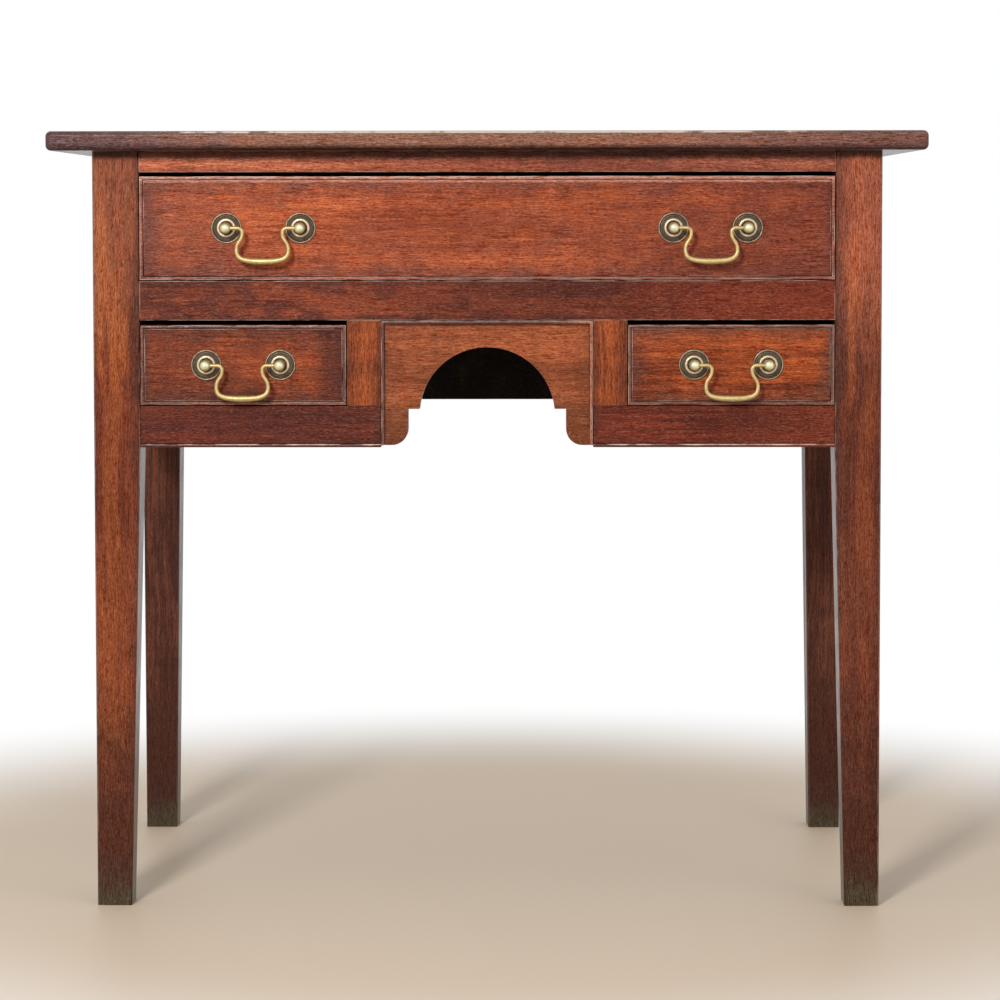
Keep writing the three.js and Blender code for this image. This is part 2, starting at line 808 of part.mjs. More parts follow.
// One rosette: raised rim, dished field, inner ring and hub
function makeRosette() {
  const rimInner = rosetteRadius - rosetteRimWidth;
  const ringOuter = rosetteRingRadius + rosetteRingWidth / 2;
  const ringInner = rosetteRingRadius - rosetteRingWidth / 2;
  const profile = [
    [shankBoreRadius, 0],
    [rosetteRadius, 0],
    [rosetteRadius, -rosetteEdge],
    [rosetteRadius - rosetteRimWidth / 2, -rosetteRimHeight],
    [rimInner, -rosetteDishHeight],
    [ringOuter, -rosetteDishHeight],
    [rosetteRingRadius, -rosetteRingHeight],
    [ringInner, -rosetteDishHeight],
    [postCollarRadius, -rosetteHubHeight],
    [shankBoreRadius, -rosetteHubHeight],
    [shankBoreRadius, 0],
  ];
  return turnedBody(profile, rosetteSides);
}

// The bail: its ends turn in the balls, its necks bend down and it bellies out to the grip
function makeBail() {
  const endX = postSpacing / 2 + bailEndPast;
  const bendX = bailNeckHalfWidth + bailNeckRadius;
  const bellyHeight = bailDrop - bailBellyDrop;
  const pull = (bailBellyDrop - bailNeckRadius) / 2;
  const path = new THREE.Path();
  path.moveTo(-endX, 0);
  path.lineTo(-bendX, 0);
  path.absarc(-bendX, -bailNeckRadius, bailNeckRadius, Math.PI / 2, 0, true);
  path.bezierCurveTo(
    -bailNeckHalfWidth, -bailNeckRadius - pull,
    -bailBellyHalfWidth, -bailBellyDrop + pull,
    -bailBellyHalfWidth, -bailBellyDrop,
  );
  path.absellipse(0, -bailBellyDrop, bailBellyHalfWidth, bellyHeight, Math.PI, Math.PI * 2, false);
  path.bezierCurveTo(
    bailBellyHalfWidth, -bailBellyDrop + pull,
    bailNeckHalfWidth, -bailNeckRadius - pull,
    bailNeckHalfWidth, -bailNeckRadius,
  );
  path.absarc(bendX, -bailNeckRadius, bailNeckRadius, Math.PI, Math.PI / 2, true);
  path.lineTo(endX, 0);
  const points = path.getPoints(bailSteps);
  const lengths = [0];
  for (let i = 1; i < points.length; i += 1) {
    lengths.push(lengths[i - 1] + points[i].distanceTo(points[i - 1]));
  }
  const total = lengths[lengths.length - 1];
  const rings = points.map((point, i) => {
    const before = points[Math.max(i - 1, 0)];
    const after = points[Math.min(i + 1, points.length - 1)];
    const along = after.clone().sub(before).normalize();
    const radius = bailRadius(lengths[i] / total);
    const ring = [];
    for (let j = 0; j < bailSides; j += 1) {
      const angle = ((j + 0.5) / bailSides) * Math.PI * 2;
      const across = radius * Math.cos(angle);
      ring.push([
        point.x - along.y * across,
        -ballStandoff + radius * Math.sin(angle),
        point.y + along.x * across,
      ]);
    }
    return ring;
  });
  return skinned(rings, false);
}

// Radius of the bail: thin at its ends, thickest in the middle of the grip
function bailRadius(share) {
  const middle = THREE.MathUtils.smoothstep(Math.sin(share * Math.PI), bailThinShare, 1);
  return bailEndRadius + (bailMiddleRadius - bailEndRadius) * middle;
}

// Everything on one drawer is measured from its opening's bottom centre at the front face
function makeDrawer(name, opening, tailCount, handles) {
  const drawer = new THREE.Group();
  drawer.position.set(opening.centre, caseFront, opening.bottom);
  const half = opening.width / 2 - drawerSideGap;
  const sideInner = half - drawerSideThickness;
  const frontTop = opening.height - opening.topGap;
  const sideTop = frontTop - drawerSideDrop;
  const backTop = sideTop - drawerBackDrop;
  const backFace = drawerLength - drawerBackThickness;
  const bottomZ = [drawerRunningGap + drawerBottomRaise, 0];
  bottomZ[1] = bottomZ[0] + drawerBottomThickness;
  const backLow = bottomZ[1] + fitGap;
  const grooveZ = [bottomZ[0] - fitGap, bottomZ[1] + fitGap];
  const grooveFront = drawerFrontThickness - frontGrooveDepth - fitGap;
  const grooveX = sideInner + sideGrooveDepth + fitGap;

  // A row of tails between two heights, as solids across one side board
  const tails = (root, tip, low, high, xRange, gap) => {
    const pitch = (high - low) / tailCount;
    const rows = [];
    for (let i = 0; i < tailCount; i += 1) {
      const centre = low + pitch * (i + 0.5);
      const rootHalf = pitch * tailWidthShare / 2;
      rows.push(drawnAlongX(dovetail(root, tip, centre, rootHalf, pitch * tailFlareShare, gap), xRange));
    }
    return rows;
  };
  const frontTails = (xRange, gap) => tails(
    drawerFrontThickness, frontLap, drawerRunningGap, sideTop, xRange, gap,
  );
  const backTails = (xRange, gap) => tails(backFace, drawerLength, backLow, backTop, xRange, gap);

  // Front: the face stands inside the bead ring, the ends hold the tail sockets
  const rebateDepth = beadDepth + fitGap;
  const faceInset = beadWidth + fitGap;
  const sockets = [-1, 1].flatMap((side) => {
    const reach = [side * (sideInner - fitGap), side * (half + overrun)];
    return frontTails(reach, fitGap);
  });
  const bores = handles.flatMap((centre) => [-1, 1].map((side) => bar(
    'y',
    shankBoreRadius,
    [-overrun, drawerFrontThickness + overrun],
    [centre + side * postSpacing / 2, (drawerFrontBottomGap + frontTop) / 2],
    boreSides,
  )));
  const blank = union([
    block([-half, half], [rebateDepth, drawerFrontThickness], [drawerFrontBottomGap, frontTop]),
    block(
      [-half + faceInset, half - faceInset],
      [0, rebateDepth + overrun],
      [drawerFrontBottomGap + faceInset, frontTop - faceInset],
    ),
  ]);
  const frontGroove = block([-grooveX, grooveX], [grooveFront, drawerFrontThickness + overrun], grooveZ);
  place(drawer, `${name}_front`, cut(blank, [...sockets, ...bores, frontGroove]), mahoganyFront);

  // Bead ring let into the edges of the front
  const corners = [
    [-half, drawerFrontBottomGap],
    [half, drawerFrontBottomGap],
    [half, frontTop],
    [-half, frontTop],
  ];
  const ring = mitredBead(corners, beadSection(beadWidth, beadDepth, -beadProud), true);
  place(drawer, `${name}_bead`, ring, mahoganyBead);

  // Sides
  for (const [side, word] of [[-1, 'left'], [1, 'right']]) {
    const xRange = [side * sideInner, side * half];
    const outline = [
      [drawerFrontThickness, drawerRunningGap],
      [drawerLength, drawerRunningGap],
      [drawerLength, backLow],
      [backFace, backLow],
      [backFace, backTop],
      [drawerLength, backTop],
      [drawerLength, sideTop],
      [drawerFrontThickness, sideTop],
    ];
    const board = union([
      drawnAlongX(outline, xRange),
      ...frontTails(xRange, 0),
      ...backTails(xRange, 0),
    ]);
    const groove = block(
      [side * (sideInner - overrun), side * grooveX],
      [grooveFront, drawerLength + overrun],
      grooveZ,
    );
    place(drawer, `${name}_side_${word}`, board.subtract(groove), drawerOak);
  }

  // Back: stands on the bottom board, between and behind the tails of the sides
  const backSockets = [-1, 1].flatMap((side) => {
    const reach = [side * (sideInner - fitGap), side * (half + overrun)];
    return backTails(reach, fitGap);
  });
  const backBlank = block([-half, half], [backFace, drawerLength], [backLow, backTop - fitGap]);
  place(drawer, `${name}_back`, cut(backBlank, backSockets), drawerOak);

  // Bottom: slid into the grooves from behind
  const bottom = block(
    [-sideInner - sideGrooveDepth, sideInner + sideGrooveDepth],
    [drawerFrontThickness - frontGrooveDepth, drawerLength],
    bottomZ,
  );
  place(drawer, `${name}_bottom`, bottom, drawerOak);

  // Handles
  handles.forEach((centre, i) => {
    const handle = new THREE.Group();
    handle.position.set(centre, 0, (drawerFrontBottomGap + frontTop) / 2);
    const title = handles.length > 1 ? `${name}_${['left', 'right'][i]}` : name;
    for (const [side, word] of [[-1, 'left'], [1, 'right']]) {
      const mounting = new THREE.Group();
      mounting.position.x = side * postSpacing / 2;
      place(mounting, `${title}_post_${word}`, makePost(side), brass);
      place(mounting, `${title}_rosette_${word}`, makeRosette(), patinatedBrass);
      handle.add(mounting);
    }
    place(handle, `${title}_bail`, makeBail(), brass);
    drawer.add(handle);
  });
  lowboy.add(drawer);
}

const longOpening = {
  centre: 0,
  width: legInner * 2,
  bottom: longOpeningBottom,
  height: longOpeningHeight,
  topGap: longDrawerTopGap,
};
makeDrawer('long_drawer', longOpening, longDrawerTailCount, [-longHandleX, longHandleX]);

for (const [side, word] of [[-1, 'left'], [1, 'right']]) {
  const opening = {
    centre: side * (dividerOuter + legInner) / 2,
    width: legInner - dividerOuter,
    bottom: shortOpeningBottom,
    height: shortOpeningHeight,
    topGap: shortDrawerTopGap,
  };
  makeDrawer(`${word}_drawer`, opening, shortDrawerTailCount, [0]);
}

export default lowboy;
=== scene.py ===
"""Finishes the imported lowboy: waxed mahogany outside, oak drawer linings, pine inside and brass
drop handles. Lengths are metres, +Z is up and the front faces -Y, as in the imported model."""
import itertools
import json
import math

import bmesh
import bpy
import numpy as np
from mathutils import Euler, Matrix, Vector, noise

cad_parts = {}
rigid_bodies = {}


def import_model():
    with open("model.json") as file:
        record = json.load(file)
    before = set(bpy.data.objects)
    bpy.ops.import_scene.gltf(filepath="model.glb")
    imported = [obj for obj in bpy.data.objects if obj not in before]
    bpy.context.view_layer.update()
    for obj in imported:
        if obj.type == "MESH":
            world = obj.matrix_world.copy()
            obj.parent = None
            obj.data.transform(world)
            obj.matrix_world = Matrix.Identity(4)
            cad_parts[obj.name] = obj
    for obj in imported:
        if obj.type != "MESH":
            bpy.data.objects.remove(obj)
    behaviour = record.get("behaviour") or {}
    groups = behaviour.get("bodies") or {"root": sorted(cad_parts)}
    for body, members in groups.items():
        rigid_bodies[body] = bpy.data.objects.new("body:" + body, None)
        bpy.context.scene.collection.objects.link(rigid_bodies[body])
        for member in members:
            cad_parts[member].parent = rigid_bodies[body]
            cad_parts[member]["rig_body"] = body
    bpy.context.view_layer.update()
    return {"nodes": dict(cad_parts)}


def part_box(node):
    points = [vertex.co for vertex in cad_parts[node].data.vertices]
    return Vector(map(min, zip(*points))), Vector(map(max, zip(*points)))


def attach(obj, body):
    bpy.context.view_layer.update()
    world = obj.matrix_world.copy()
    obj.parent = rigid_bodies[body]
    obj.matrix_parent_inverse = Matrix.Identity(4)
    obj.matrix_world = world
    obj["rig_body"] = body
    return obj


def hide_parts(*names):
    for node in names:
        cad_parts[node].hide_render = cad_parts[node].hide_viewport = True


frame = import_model()


# Camera
# A long lens three metres in front of the drawers, a little below the height of the top board and
# looking slightly down. The shift sets the piece high in the frame.
def stand_camera():
    lens = bpy.data.cameras.new("camera")
    lens.lens = 116.3
    lens.sensor_width = 36.0
    lens.shift_y = -0.10
    camera = bpy.data.objects.new("camera", lens)
    bpy.context.scene.collection.objects.link(camera)
    place = Vector((0.040, -3.189, 0.642))
    pitch, yaw, roll = (math.radians(angle) for angle in (90 - 3.26, 0.54, -0.06))
    turn = Euler((pitch, 0, yaw)).to_matrix() @ Matrix.Rotation(roll, 3, "Z")
    camera.matrix_world = Matrix.Translation(place) @ turn.to_4x4()
    bpy.context.scene.camera = camera
    bpy.context.scene.view_settings.view_transform = "Standard"


stand_camera()


# Floor
# A plain pale floor that takes the shadow of the piece. Further out it turns to plain white, so
# that it meets the white background with no line.
def srgb(code):
    """A hex colour as the linear values that a shader takes."""
    channels = [int(code[i:i + 2], 16) / 255 for i in (1, 3, 5)]
    linear = [c / 12.92 if c <= 0.04045 else ((c + 0.055) / 1.055) ** 2.4 for c in channels]
    return (*linear, 1.0)


def add(tree, kind, settings=None, inputs=None, output=0):
    """Adds a node with its settings, links or fills its inputs, and returns one of its outputs."""
    made = tree.nodes.new(kind)
    for name, value in (settings or {}).items():
        setattr(made, name, value)
    open_inputs = [socket for socket in made.inputs if socket.enabled]
    for key, value in (inputs or {}).items():
        named = [socket for socket in open_inputs if socket.name == key]
        socket = named[0] if named else open_inputs[key]
        if isinstance(value, bpy.types.NodeSocket):
            tree.links.new(value, socket)
        else:
            socket.default_value = value
    open_outputs = [socket for socket in made.outputs if socket.enabled]
    named = [socket for socket in open_outputs if socket.name == output]
    if open_outputs:
        return named[0] if named else open_outputs[output]


def seen_directly(tree):
    """1 on rays from the camera, from a reflection or through glass, and 0 on the rest."""
    rays = add(tree, "ShaderNodeLightPath", output="Is Camera Ray").node.outputs
    mirrored = add(tree, "ShaderNodeMath", {"operation": "MAXIMUM"},
                   {0: rays["Is Glossy Ray"], 1: rays["Is Transmission Ray"]})
    return add(tree, "ShaderNodeMath", {"operation": "MAXIMUM"},
               {0: rays["Is Camera Ray"], 1: mirrored})


def show(name, mesh):
    """Puts a mesh into the scene as an object at the origin."""
    made = bpy.data.objects.new(name, mesh)
    bpy.context.scene.collection.objects.link(made)
    return made


def mesh_of(name, shape):
    """Turns a worked shape into a mesh and lets go of the shape."""
    mesh = bpy.data.meshes.new(name)
    shape.to_mesh(mesh)
    shape.free()
    return mesh


def lay_floor():
    paint = bpy.data.materials.new("Matt pale floor")
    paint.use_nodes = True
    tree = paint.node_tree
    matt = tree.nodes["Principled BSDF"]
    matt.inputs["Base Color"].default_value = srgb("#e6d1b8")
    matt.inputs["Roughness"].default_value = 0.55
    place = add(tree, "ShaderNodeTexCoord", output="Object")
    reach = add(tree, "ShaderNodeVectorMath", {"operation": "LENGTH"}, {0: place}, "Value")
    shadow_reach, white_reach, floor_radius = 0.5, 1.05, 8.0
    far = add(tree, "ShaderNodeMapRange", {"interpolation_type": "SMOOTHSTEP"},
              {"Value": reach, "From Min": shadow_reach, "From Max": white_reach})
    share = add(tree, "ShaderNodeMath", {"operation": "MULTIPLY"}, {0: far, 1: seen_directly(tree)})
    white = add(tree, "ShaderNodeEmission", inputs={"Color": srgb("#ffffff"), "Strength": 1.0})
    both = add(tree, "ShaderNodeMixShader", inputs={0: share, 1: matt.outputs["BSDF"], 2: white})
    tree.links.new(both, tree.nodes["Material Output"].inputs["Surface"])
    shape = bmesh.new()
    bmesh.ops.create_circle(shape, cap_ends=True, radius=floor_radius, segments=96)
    mesh = mesh_of("floor", shape)
    mesh.materials.append(paint)
    floor = show("floor", mesh)


lay_floor()


# Light
# White all round, with a small soft lamp above the camera on the left, which casts the shadows of
# the top and the handles, and a weaker large one on the right that softens them.
def light_room():
    world = bpy.data.worlds.new("room")
    bpy.context.scene.world = world
    world.use_nodes = True
    tree = world.node_tree
    around = 0.44
    strength = add(tree, "ShaderNodeMath", {"operation": "MULTIPLY_ADD"},
                   {0: seen_directly(tree), 1: 1 - around, 2: around})
    background = tree.nodes["Background"]
    background.inputs["Color"].default_value = srgb("#ffffff")
    tree.links.new(strength, background.inputs["Strength"])
    apron_middle = Vector((0, 0, 0.45))
    lamps = [
        ("key", (-0.85, -2.95, 1.70), 0.45, 64.0),
        ("fill", (2.2, -2.4, 1.2), 1.6, 10.0),
    ]
    for name, place, size, watts in lamps:
        lamp = bpy.data.lights.new(name, "AREA")
        lamp.size = size
        lamp.energy = watts
        holder = bpy.data.objects.new(name, lamp)
        bpy.context.scene.collection.objects.link(holder)
        aim = apron_middle - Vector(place)
        holder.matrix_world = Matrix.Translation(place) @ aim.to_track_quat("-Z", "Y").to_matrix().to_4x4()
        holder.visible_camera = False


light_room()


# Top board
# One wide mahogany board with rounded edges, glued and pocket-screwed to the carcass. Its edge is
# the most handled part: the wax has gone dull and purple-brown, with pale wear along the upper
# arris that is also a painted highlight, and painted shade on its lower rounding.
def fleck(tree, grain, length, width, detail=2.0):
    """Noise whose cells are that long with the grain and that wide across it, in metres."""
    cells = add(tree, "ShaderNodeVectorMath", {"operation": "MULTIPLY"},
                {0: grain, 1: (1 / length, 1 / width, 1 / width)})
    return add(tree, "ShaderNodeTexNoise", {}, {"Vector": cells, "Scale": 1.0, "Detail": detail})


def stain(tree, colour, over, pattern, start, end, strength=1.0):
    """Lays a second colour over a first as a pattern goes from its start value to its end value."""
    share = add(tree, "ShaderNodeMapRange", {"interpolation_type": "SMOOTHSTEP"},
                {"Value": pattern, "From Min": start, "From Max": end, "To Max": strength})
    return add(tree, "ShaderNodeMix", {"data_type": "RGBA"}, {"Factor": share, "A": colour, "B": srgb(over)})


def timber(name, pale, deep, streaks=1.0, flame=None, blotch=None, patch=(0.04, 0.018), border=None,
           border_width=0.012, stains=(), worn_and_glint="#b08a72", pores=0.25, fineness=0.9, wander=0.014,
           dull=0.36, level=0.12):
    """A board's finish. The colour runs from deep to pale by the growth of the log, in bands and
    streaks. Flame is a third colour in broad wavy stripes, blotch one in patches as long and wide
    as patch says, and border one along the edges of the board. Each of the stains is a colour that
    sets in along X, Y or Z between two places, and its strength. The fine lines of the grain show
    through all of these with a painted greyish sheen, so blue swings more than red; fineness is how
    much. Worn and glint is the colour of bare wood on the arrises, which on the beads, the top board
    and the bottom rails also stands for a painted highlight, and of small painted glints on the
    grain. Pores is how dark the open pores are, wander how far the grain strays from straight, dull
    the roughness of the wax, and level its shine seen squarely."""
    material = bpy.data.materials.new(name)
    material.use_nodes = True
    tree = material.node_tree
    shader = tree.nodes["Principled BSDF"]
    straight = add(tree, "ShaderNodeAttribute", {"attribute_name": "grain"}, output="Vector")
    drift = add(tree, "ShaderNodeTexNoise", {}, {"Vector": straight, "Scale": 9.0, "Detail": 1.0}, "Color")
    grain = add(tree, "ShaderNodeVectorMath", {"operation": "MULTIPLY_ADD"},
                {0: drift, 1: (0.0, wander, wander), 2: straight})

    tone = fleck(tree, grain, length=0.24, width=0.045, detail=3.0)
    weights = {
        fleck(tree, grain, length=0.12, width=0.003): streaks * 0.7,
        fleck(tree, straight, length=0.014, width=0.05): 0.3,
    }
    for pattern, weight in weights.items():
        tone = add(tree, "ShaderNodeMath", {"operation": "MULTIPLY_ADD"}, {0: pattern, 1: weight, 2: tone})
    middle = 0.5 * (1 + sum(weights.values()))
    spread = 0.18 * (1 + streaks * 0.5)
    colour = stain(tree, srgb(deep), pale, tone, middle - spread, middle + spread)

    if flame:
        wave = fleck(tree, grain, length=0.12, width=0.013)
        colour = stain(tree, colour, flame, wave, start=0.44, end=0.62, strength=0.8)
    if blotch:
        clouds = fleck(tree, straight, *patch, detail=4.0)
        colour = stain(tree, colour, blotch, clouds, start=0.46, end=0.62, strength=0.7)

    smudge = add(tree, "ShaderNodeTexNoise", {}, {"Vector": straight, "Scale": 38.0, "Detail": 3.0})
    if border:
        low, high = (add(tree, "ShaderNodeAttribute", {"attribute_name": name}, output="Vector")
                     for name in ("low_reach", "high_reach"))
        reach = add(tree, "ShaderNodeVectorMath", {"operation": "MINIMUM"}, {0: low, 1: high})
        parts = add(tree, "ShaderNodeSeparateXYZ", inputs={0: reach}).node.outputs
        nearest = add(tree, "ShaderNodeMath", {"operation": "MINIMUM"}, {0: parts["X"], 1: parts["Y"]})
        nearest = add(tree, "ShaderNodeMath", {"operation": "MINIMUM"}, {0: nearest, 1: parts["Z"]})
        uneven = add(tree, "ShaderNodeMath", {"operation": "MULTIPLY_ADD"},
                     {0: smudge, 1: -2.5 * border_width, 2: nearest})
        colour = stain(tree, colour, border, uneven, start=0.5 * border_width, end=-1.5 * border_width,
                       strength=0.8)
    place = add(tree, "ShaderNodeTexCoord", output="Object")
    along = add(tree, "ShaderNodeSeparateXYZ", inputs={0: place}).node.outputs
    for over, axis, start, end, strength in stains:
        run = end - start
        uneven = add(tree, "ShaderNodeMath", {"operation": "MULTIPLY_ADD"},
                     {0: smudge, 1: run, 2: along[axis]})
        colour = stain(tree, colour, over, uneven, start + run / 2, end + run / 2, strength)

    line = fleck(tree, grain, length=0.013, width=0.0008)
    speck = fleck(tree, grain, length=0.003, width=0.0008)
    fine = add(tree, "ShaderNodeMath", {"operation": "ADD"}, {0: line, 1: speck})
    # The fine grain carries a painted greyish sheen, so its blue swings more than its red.
    swing = fineness * np.array((0.72, 1.25, 1.75))
    darkest, palest = (0.6,) * 3, (1.4,) * 3
    shade = add(tree, "ShaderNodeMapRange", {"data_type": "FLOAT_VECTOR"}, {
        "Vector": fine, "From Min": darkest, "From Max": palest, "To Min": 1 - swing, "To Max": 1 + swing})
    colour = add(tree, "ShaderNodeMix", {"data_type": "RGBA", "blend_type": "MULTIPLY"},
                 {"Factor": 1.0, "A": colour, "B": shade})
    # Small painted glints: the pale worn colour laid on the brightest specks of the grain.
    colour = stain(tree, colour, worn_and_glint, speck, start=0.55, end=0.75, strength=0.08)
    dash = fleck(tree, grain, length=0.007, width=0.0006, detail=1.0)
    open_pore = add(tree, "ShaderNodeMapRange", {"interpolation_type": "SMOOTHSTEP"},
                    {"Value": dash, "From Min": 0.52, "From Max": 0.66})
    colour = stain(tree, colour, "#260f0a", open_pore, start=0.0, end=1.0, strength=pores)
    # Worn arrises; on the beads, the top board and the bottom rails this also paints a highlight.
    wear_and_highlight = add(tree, "ShaderNodeAttribute", {"attribute_name": "wear_and_highlight"}, output="Fac")
    rub_and_highlight = add(tree, "ShaderNodeMath", {"operation": "MULTIPLY"},
              {0: wear_and_highlight, 1: fleck(tree, straight, length=0.02, width=0.02, detail=4.0)})
    colour = stain(tree, colour, worn_and_glint, rub_and_highlight, start=0.38, end=0.54, strength=0.85)
    tree.links.new(colour, shader.inputs["Base Color"])

    gloss = add(tree, "ShaderNodeMapRange", {"interpolation_type": "SMOOTHSTEP"}, {
        "Value": smudge, "From Min": 0.3, "From Max": 0.75, "To Min": dull - 0.03, "To Max": dull + 0.05})
    tree.links.new(gloss, shader.inputs["Roughness"])
    glancing = add(tree, "ShaderNodeLayerWeight", inputs={"Blend": 0.5}, output="Facing")
    sheen = add(tree, "ShaderNodeMapRange", {"interpolation_type": "SMOOTHSTEP"}, {
        "Value": glancing, "From Min": 0.6, "From Max": 0.9, "To Min": level, "To Max": 1.0})
    rubbed_shine = 0.4
    sheen = add(tree, "ShaderNodeMath", {"operation": "MULTIPLY_ADD"}, {0: wear_and_highlight, 1: rubbed_shine, 2: sheen})
    tree.links.new(sheen, shader.inputs["Specular IOR Level"])
    relief = add(tree, "ShaderNodeMath", {"operation": "SUBTRACT"}, {0: line, 1: open_pore})
    bump = add(tree, "ShaderNodeBump", inputs={"Height": relief, "Strength": 0.25, "Distance": 0.0003})
    tree.links.new(bump, shader.inputs["Normal"])
    shader.inputs["IOR"].default_value = 1.47
    return material


# Each board is cut from its own place in the log, so no two show the same figure.
log_places = (Vector((0.731, 0.419, 0.287)) * number for number in itertools.count(1))


def show_timber(name, shape, along, thickness, material):
    """Makes a board of a shape. Each point keeps its place along and across the grain, how far it
    is from the edges of the board, and how worn it is, which some shapes also use to paint a
    highlight: if the shape doesn't say, all its arrises are."""
    if not shape.verts.layers.float.get("wear_and_highlight"):
        wear_and_highlight = shape.verts.layers.float.new("wear_and_highlight")
        worn_width = 0.002
        narrow = set()
        for face in shape.faces:
            longest = max(edge.calc_length() for edge in face.edges)
            if face.calc_area() < longest * worn_width:
                narrow.add(face.index)
        for vert in shape.verts:
            vert[wear_and_highlight] = float(all(face.index in narrow for face in vert.link_faces))
    mesh = mesh_of(name, shape)
    places = np.array([vert.co for vert in mesh.vertices])
    order = sorted(range(3), key=lambda axis: axis != "XYZ".index(along))
    low_reach = places - places.min(axis=0)
    high_reach = places.max(axis=0) - places
    for reach in (low_reach, high_reach):
        reach[:, "XYZ".index(thickness)] = 1.0
    marks = {
        "grain": places[:, order] + np.array(next(log_places)),
        "low_reach": low_reach,
        "high_reach": high_reach,
    }
    for mark, values in marks.items():
        layer = mesh.attributes.new(mark, "FLOAT_VECTOR", "POINT")
        layer.data.foreach_set("vector", values.astype(np.float32).ravel())
    mesh.shade_smooth()
    mesh.set_sharp_from_angle(angle=math.radians(50))
    mesh.materials.append(material)
    made = show(name, mesh)
    soft = made.modifiers.new("soft arrises", "WEIGHTED_NORMAL")
    soft.keep_sharp = True
    return made


def fit(piece, slot, *nodes):
    """A finished piece stands for its nodes and moves with the body that they belong to."""
    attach(piece, frame["nodes"][nodes[0]]["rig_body"])
    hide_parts(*nodes)


def block(low, high):
    """A box as a shape that can be worked on."""
    shape = bmesh.new()
    bmesh.ops.create_cube(shape, size=1.0)
    for vert in shape.verts:
        vert.co = Vector([high[i] if vert.co[i] > 0 else low[i] for i in range(3)])
    return shape


def make_top_board():
    corner_radius = 0.005
    edge_radius = 0.005
    elbow_reach = 0.14
    highlight_and_wear_from, highlight_and_wear_to = edge_radius * 0.05, edge_radius * 0.4
    highlight_and_wear_middle, highlight_and_wear_ends = 1.2, 0.4
    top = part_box("top_board")[1].z
    shape = block(*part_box("top_board"))
    upright = [edge for edge in shape.edges if abs(edge.verts[0].co.z - edge.verts[1].co.z) > edge_radius]
    bmesh.ops.bevel(shape, geom=upright, offset=corner_radius, segments=8, profile=0.5, affect="EDGES")
    rims = [edge for edge in shape.edges if any(abs(face.normal.z) > 0.5 for face in edge.link_faces)]
    bmesh.ops.bevel(shape, geom=rims, offset=edge_radius, segments=7, profile=0.5, affect="EDGES")
    for place in (-elbow_reach, elbow_reach):
        everything = [*shape.verts, *shape.edges, *shape.faces]
        bmesh.ops.bisect_plane(shape, geom=everything, plane_co=(place, 0, 0), plane_no=(1, 0, 0))
    # The band just under the top arris is marked as wear and as a painted highlight, more in the middle than
    # at the ends.
    wear_and_highlight = shape.verts.layers.float.new("wear_and_highlight")
    for vert in shape.verts:
        rubbed = highlight_and_wear_from < top - vert.co.z < highlight_and_wear_to
        vert[wear_and_highlight] = rubbed * (highlight_and_wear_middle if abs(vert.co.x) < elbow_reach * 1.1 else highlight_and_wear_ends)
    waxed = timber("Waxed mahogany, dulled by handling", pale="#a4624a", deep="#542d24", streaks=1.5,
                   blotch="#47383a", patch=(0.05, 0.005), border="#8a5d4b", worn_and_glint="#dcc8ba", wander=0.004,
                   dull=0.30, stains=[
                       ("#6f5a46", "Z", top - 0.0075, top - 0.0035, 0.4),
                       # The next two stains paint shade on the lower rounding of the front edge.
                       ("#2b1812", "Z", top - 0.0105, top - 0.0155, 0.8),
                       ("#100a08", "Z", top - 0.0148, top - 0.0166, 0.9),
                       ("#46343c", "X", -0.185, -0.395, 0.75), ("#553c40", "X", 0.100, 0.400, 0.5),
                       ("#84442c", "Z", top - 0.0012, top - 0.0002, 0.4),
                       ("#5c3828", "Z", top - 0.0173, top - 0.0178, 0.95)])
    fit(show_timber("top_board_waxed", shape, "X", "Z", waxed), "mahogany_top", "top_board")


make_top_board()
under_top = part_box("top_board")[0].z


# Legs
# Four mahogany legs, square where the rails are tenoned into them and tapered on the two inner
# faces below. The grain runs up the leg with a wavy orange flame and darkens towards the feet.
# Shade is painted under the top board, and the back legs are a darker copy as painted shade.
def ease(shape, arris, segments, shortest=0.0):
    """Joins flat faces, then rounds each convex edge that is long and turns by over 50 degrees."""
    flat, sharp = math.radians(1), math.radians(50)
    bmesh.ops.dissolve_limit(shape, angle_limit=flat, verts=shape.verts, edges=shape.edges)
    arrises = []
    for edge in shape.edges:
        meets = len(edge.link_faces) == 2 and edge.is_convex and edge.calc_length() > shortest
        if meets and edge.calc_face_angle() > sharp:
            arrises.append(edge)
    bmesh.ops.bevel(shape, geom=arrises, offset=arris, segments=segments, profile=0.5, affect="EDGES",
                    clamp_overlap=False)
    return shape


def bench_copy(node, arris=0.0008):
    """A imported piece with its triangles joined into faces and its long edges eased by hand."""
    shape = bmesh.new()
    shape.from_mesh(frame["nodes"][node].data)
    bmesh.ops.remove_doubles(shape, verts=shape.verts, dist=0.00001)
    return ease(shape, arris, segments=3, shortest=0.018)


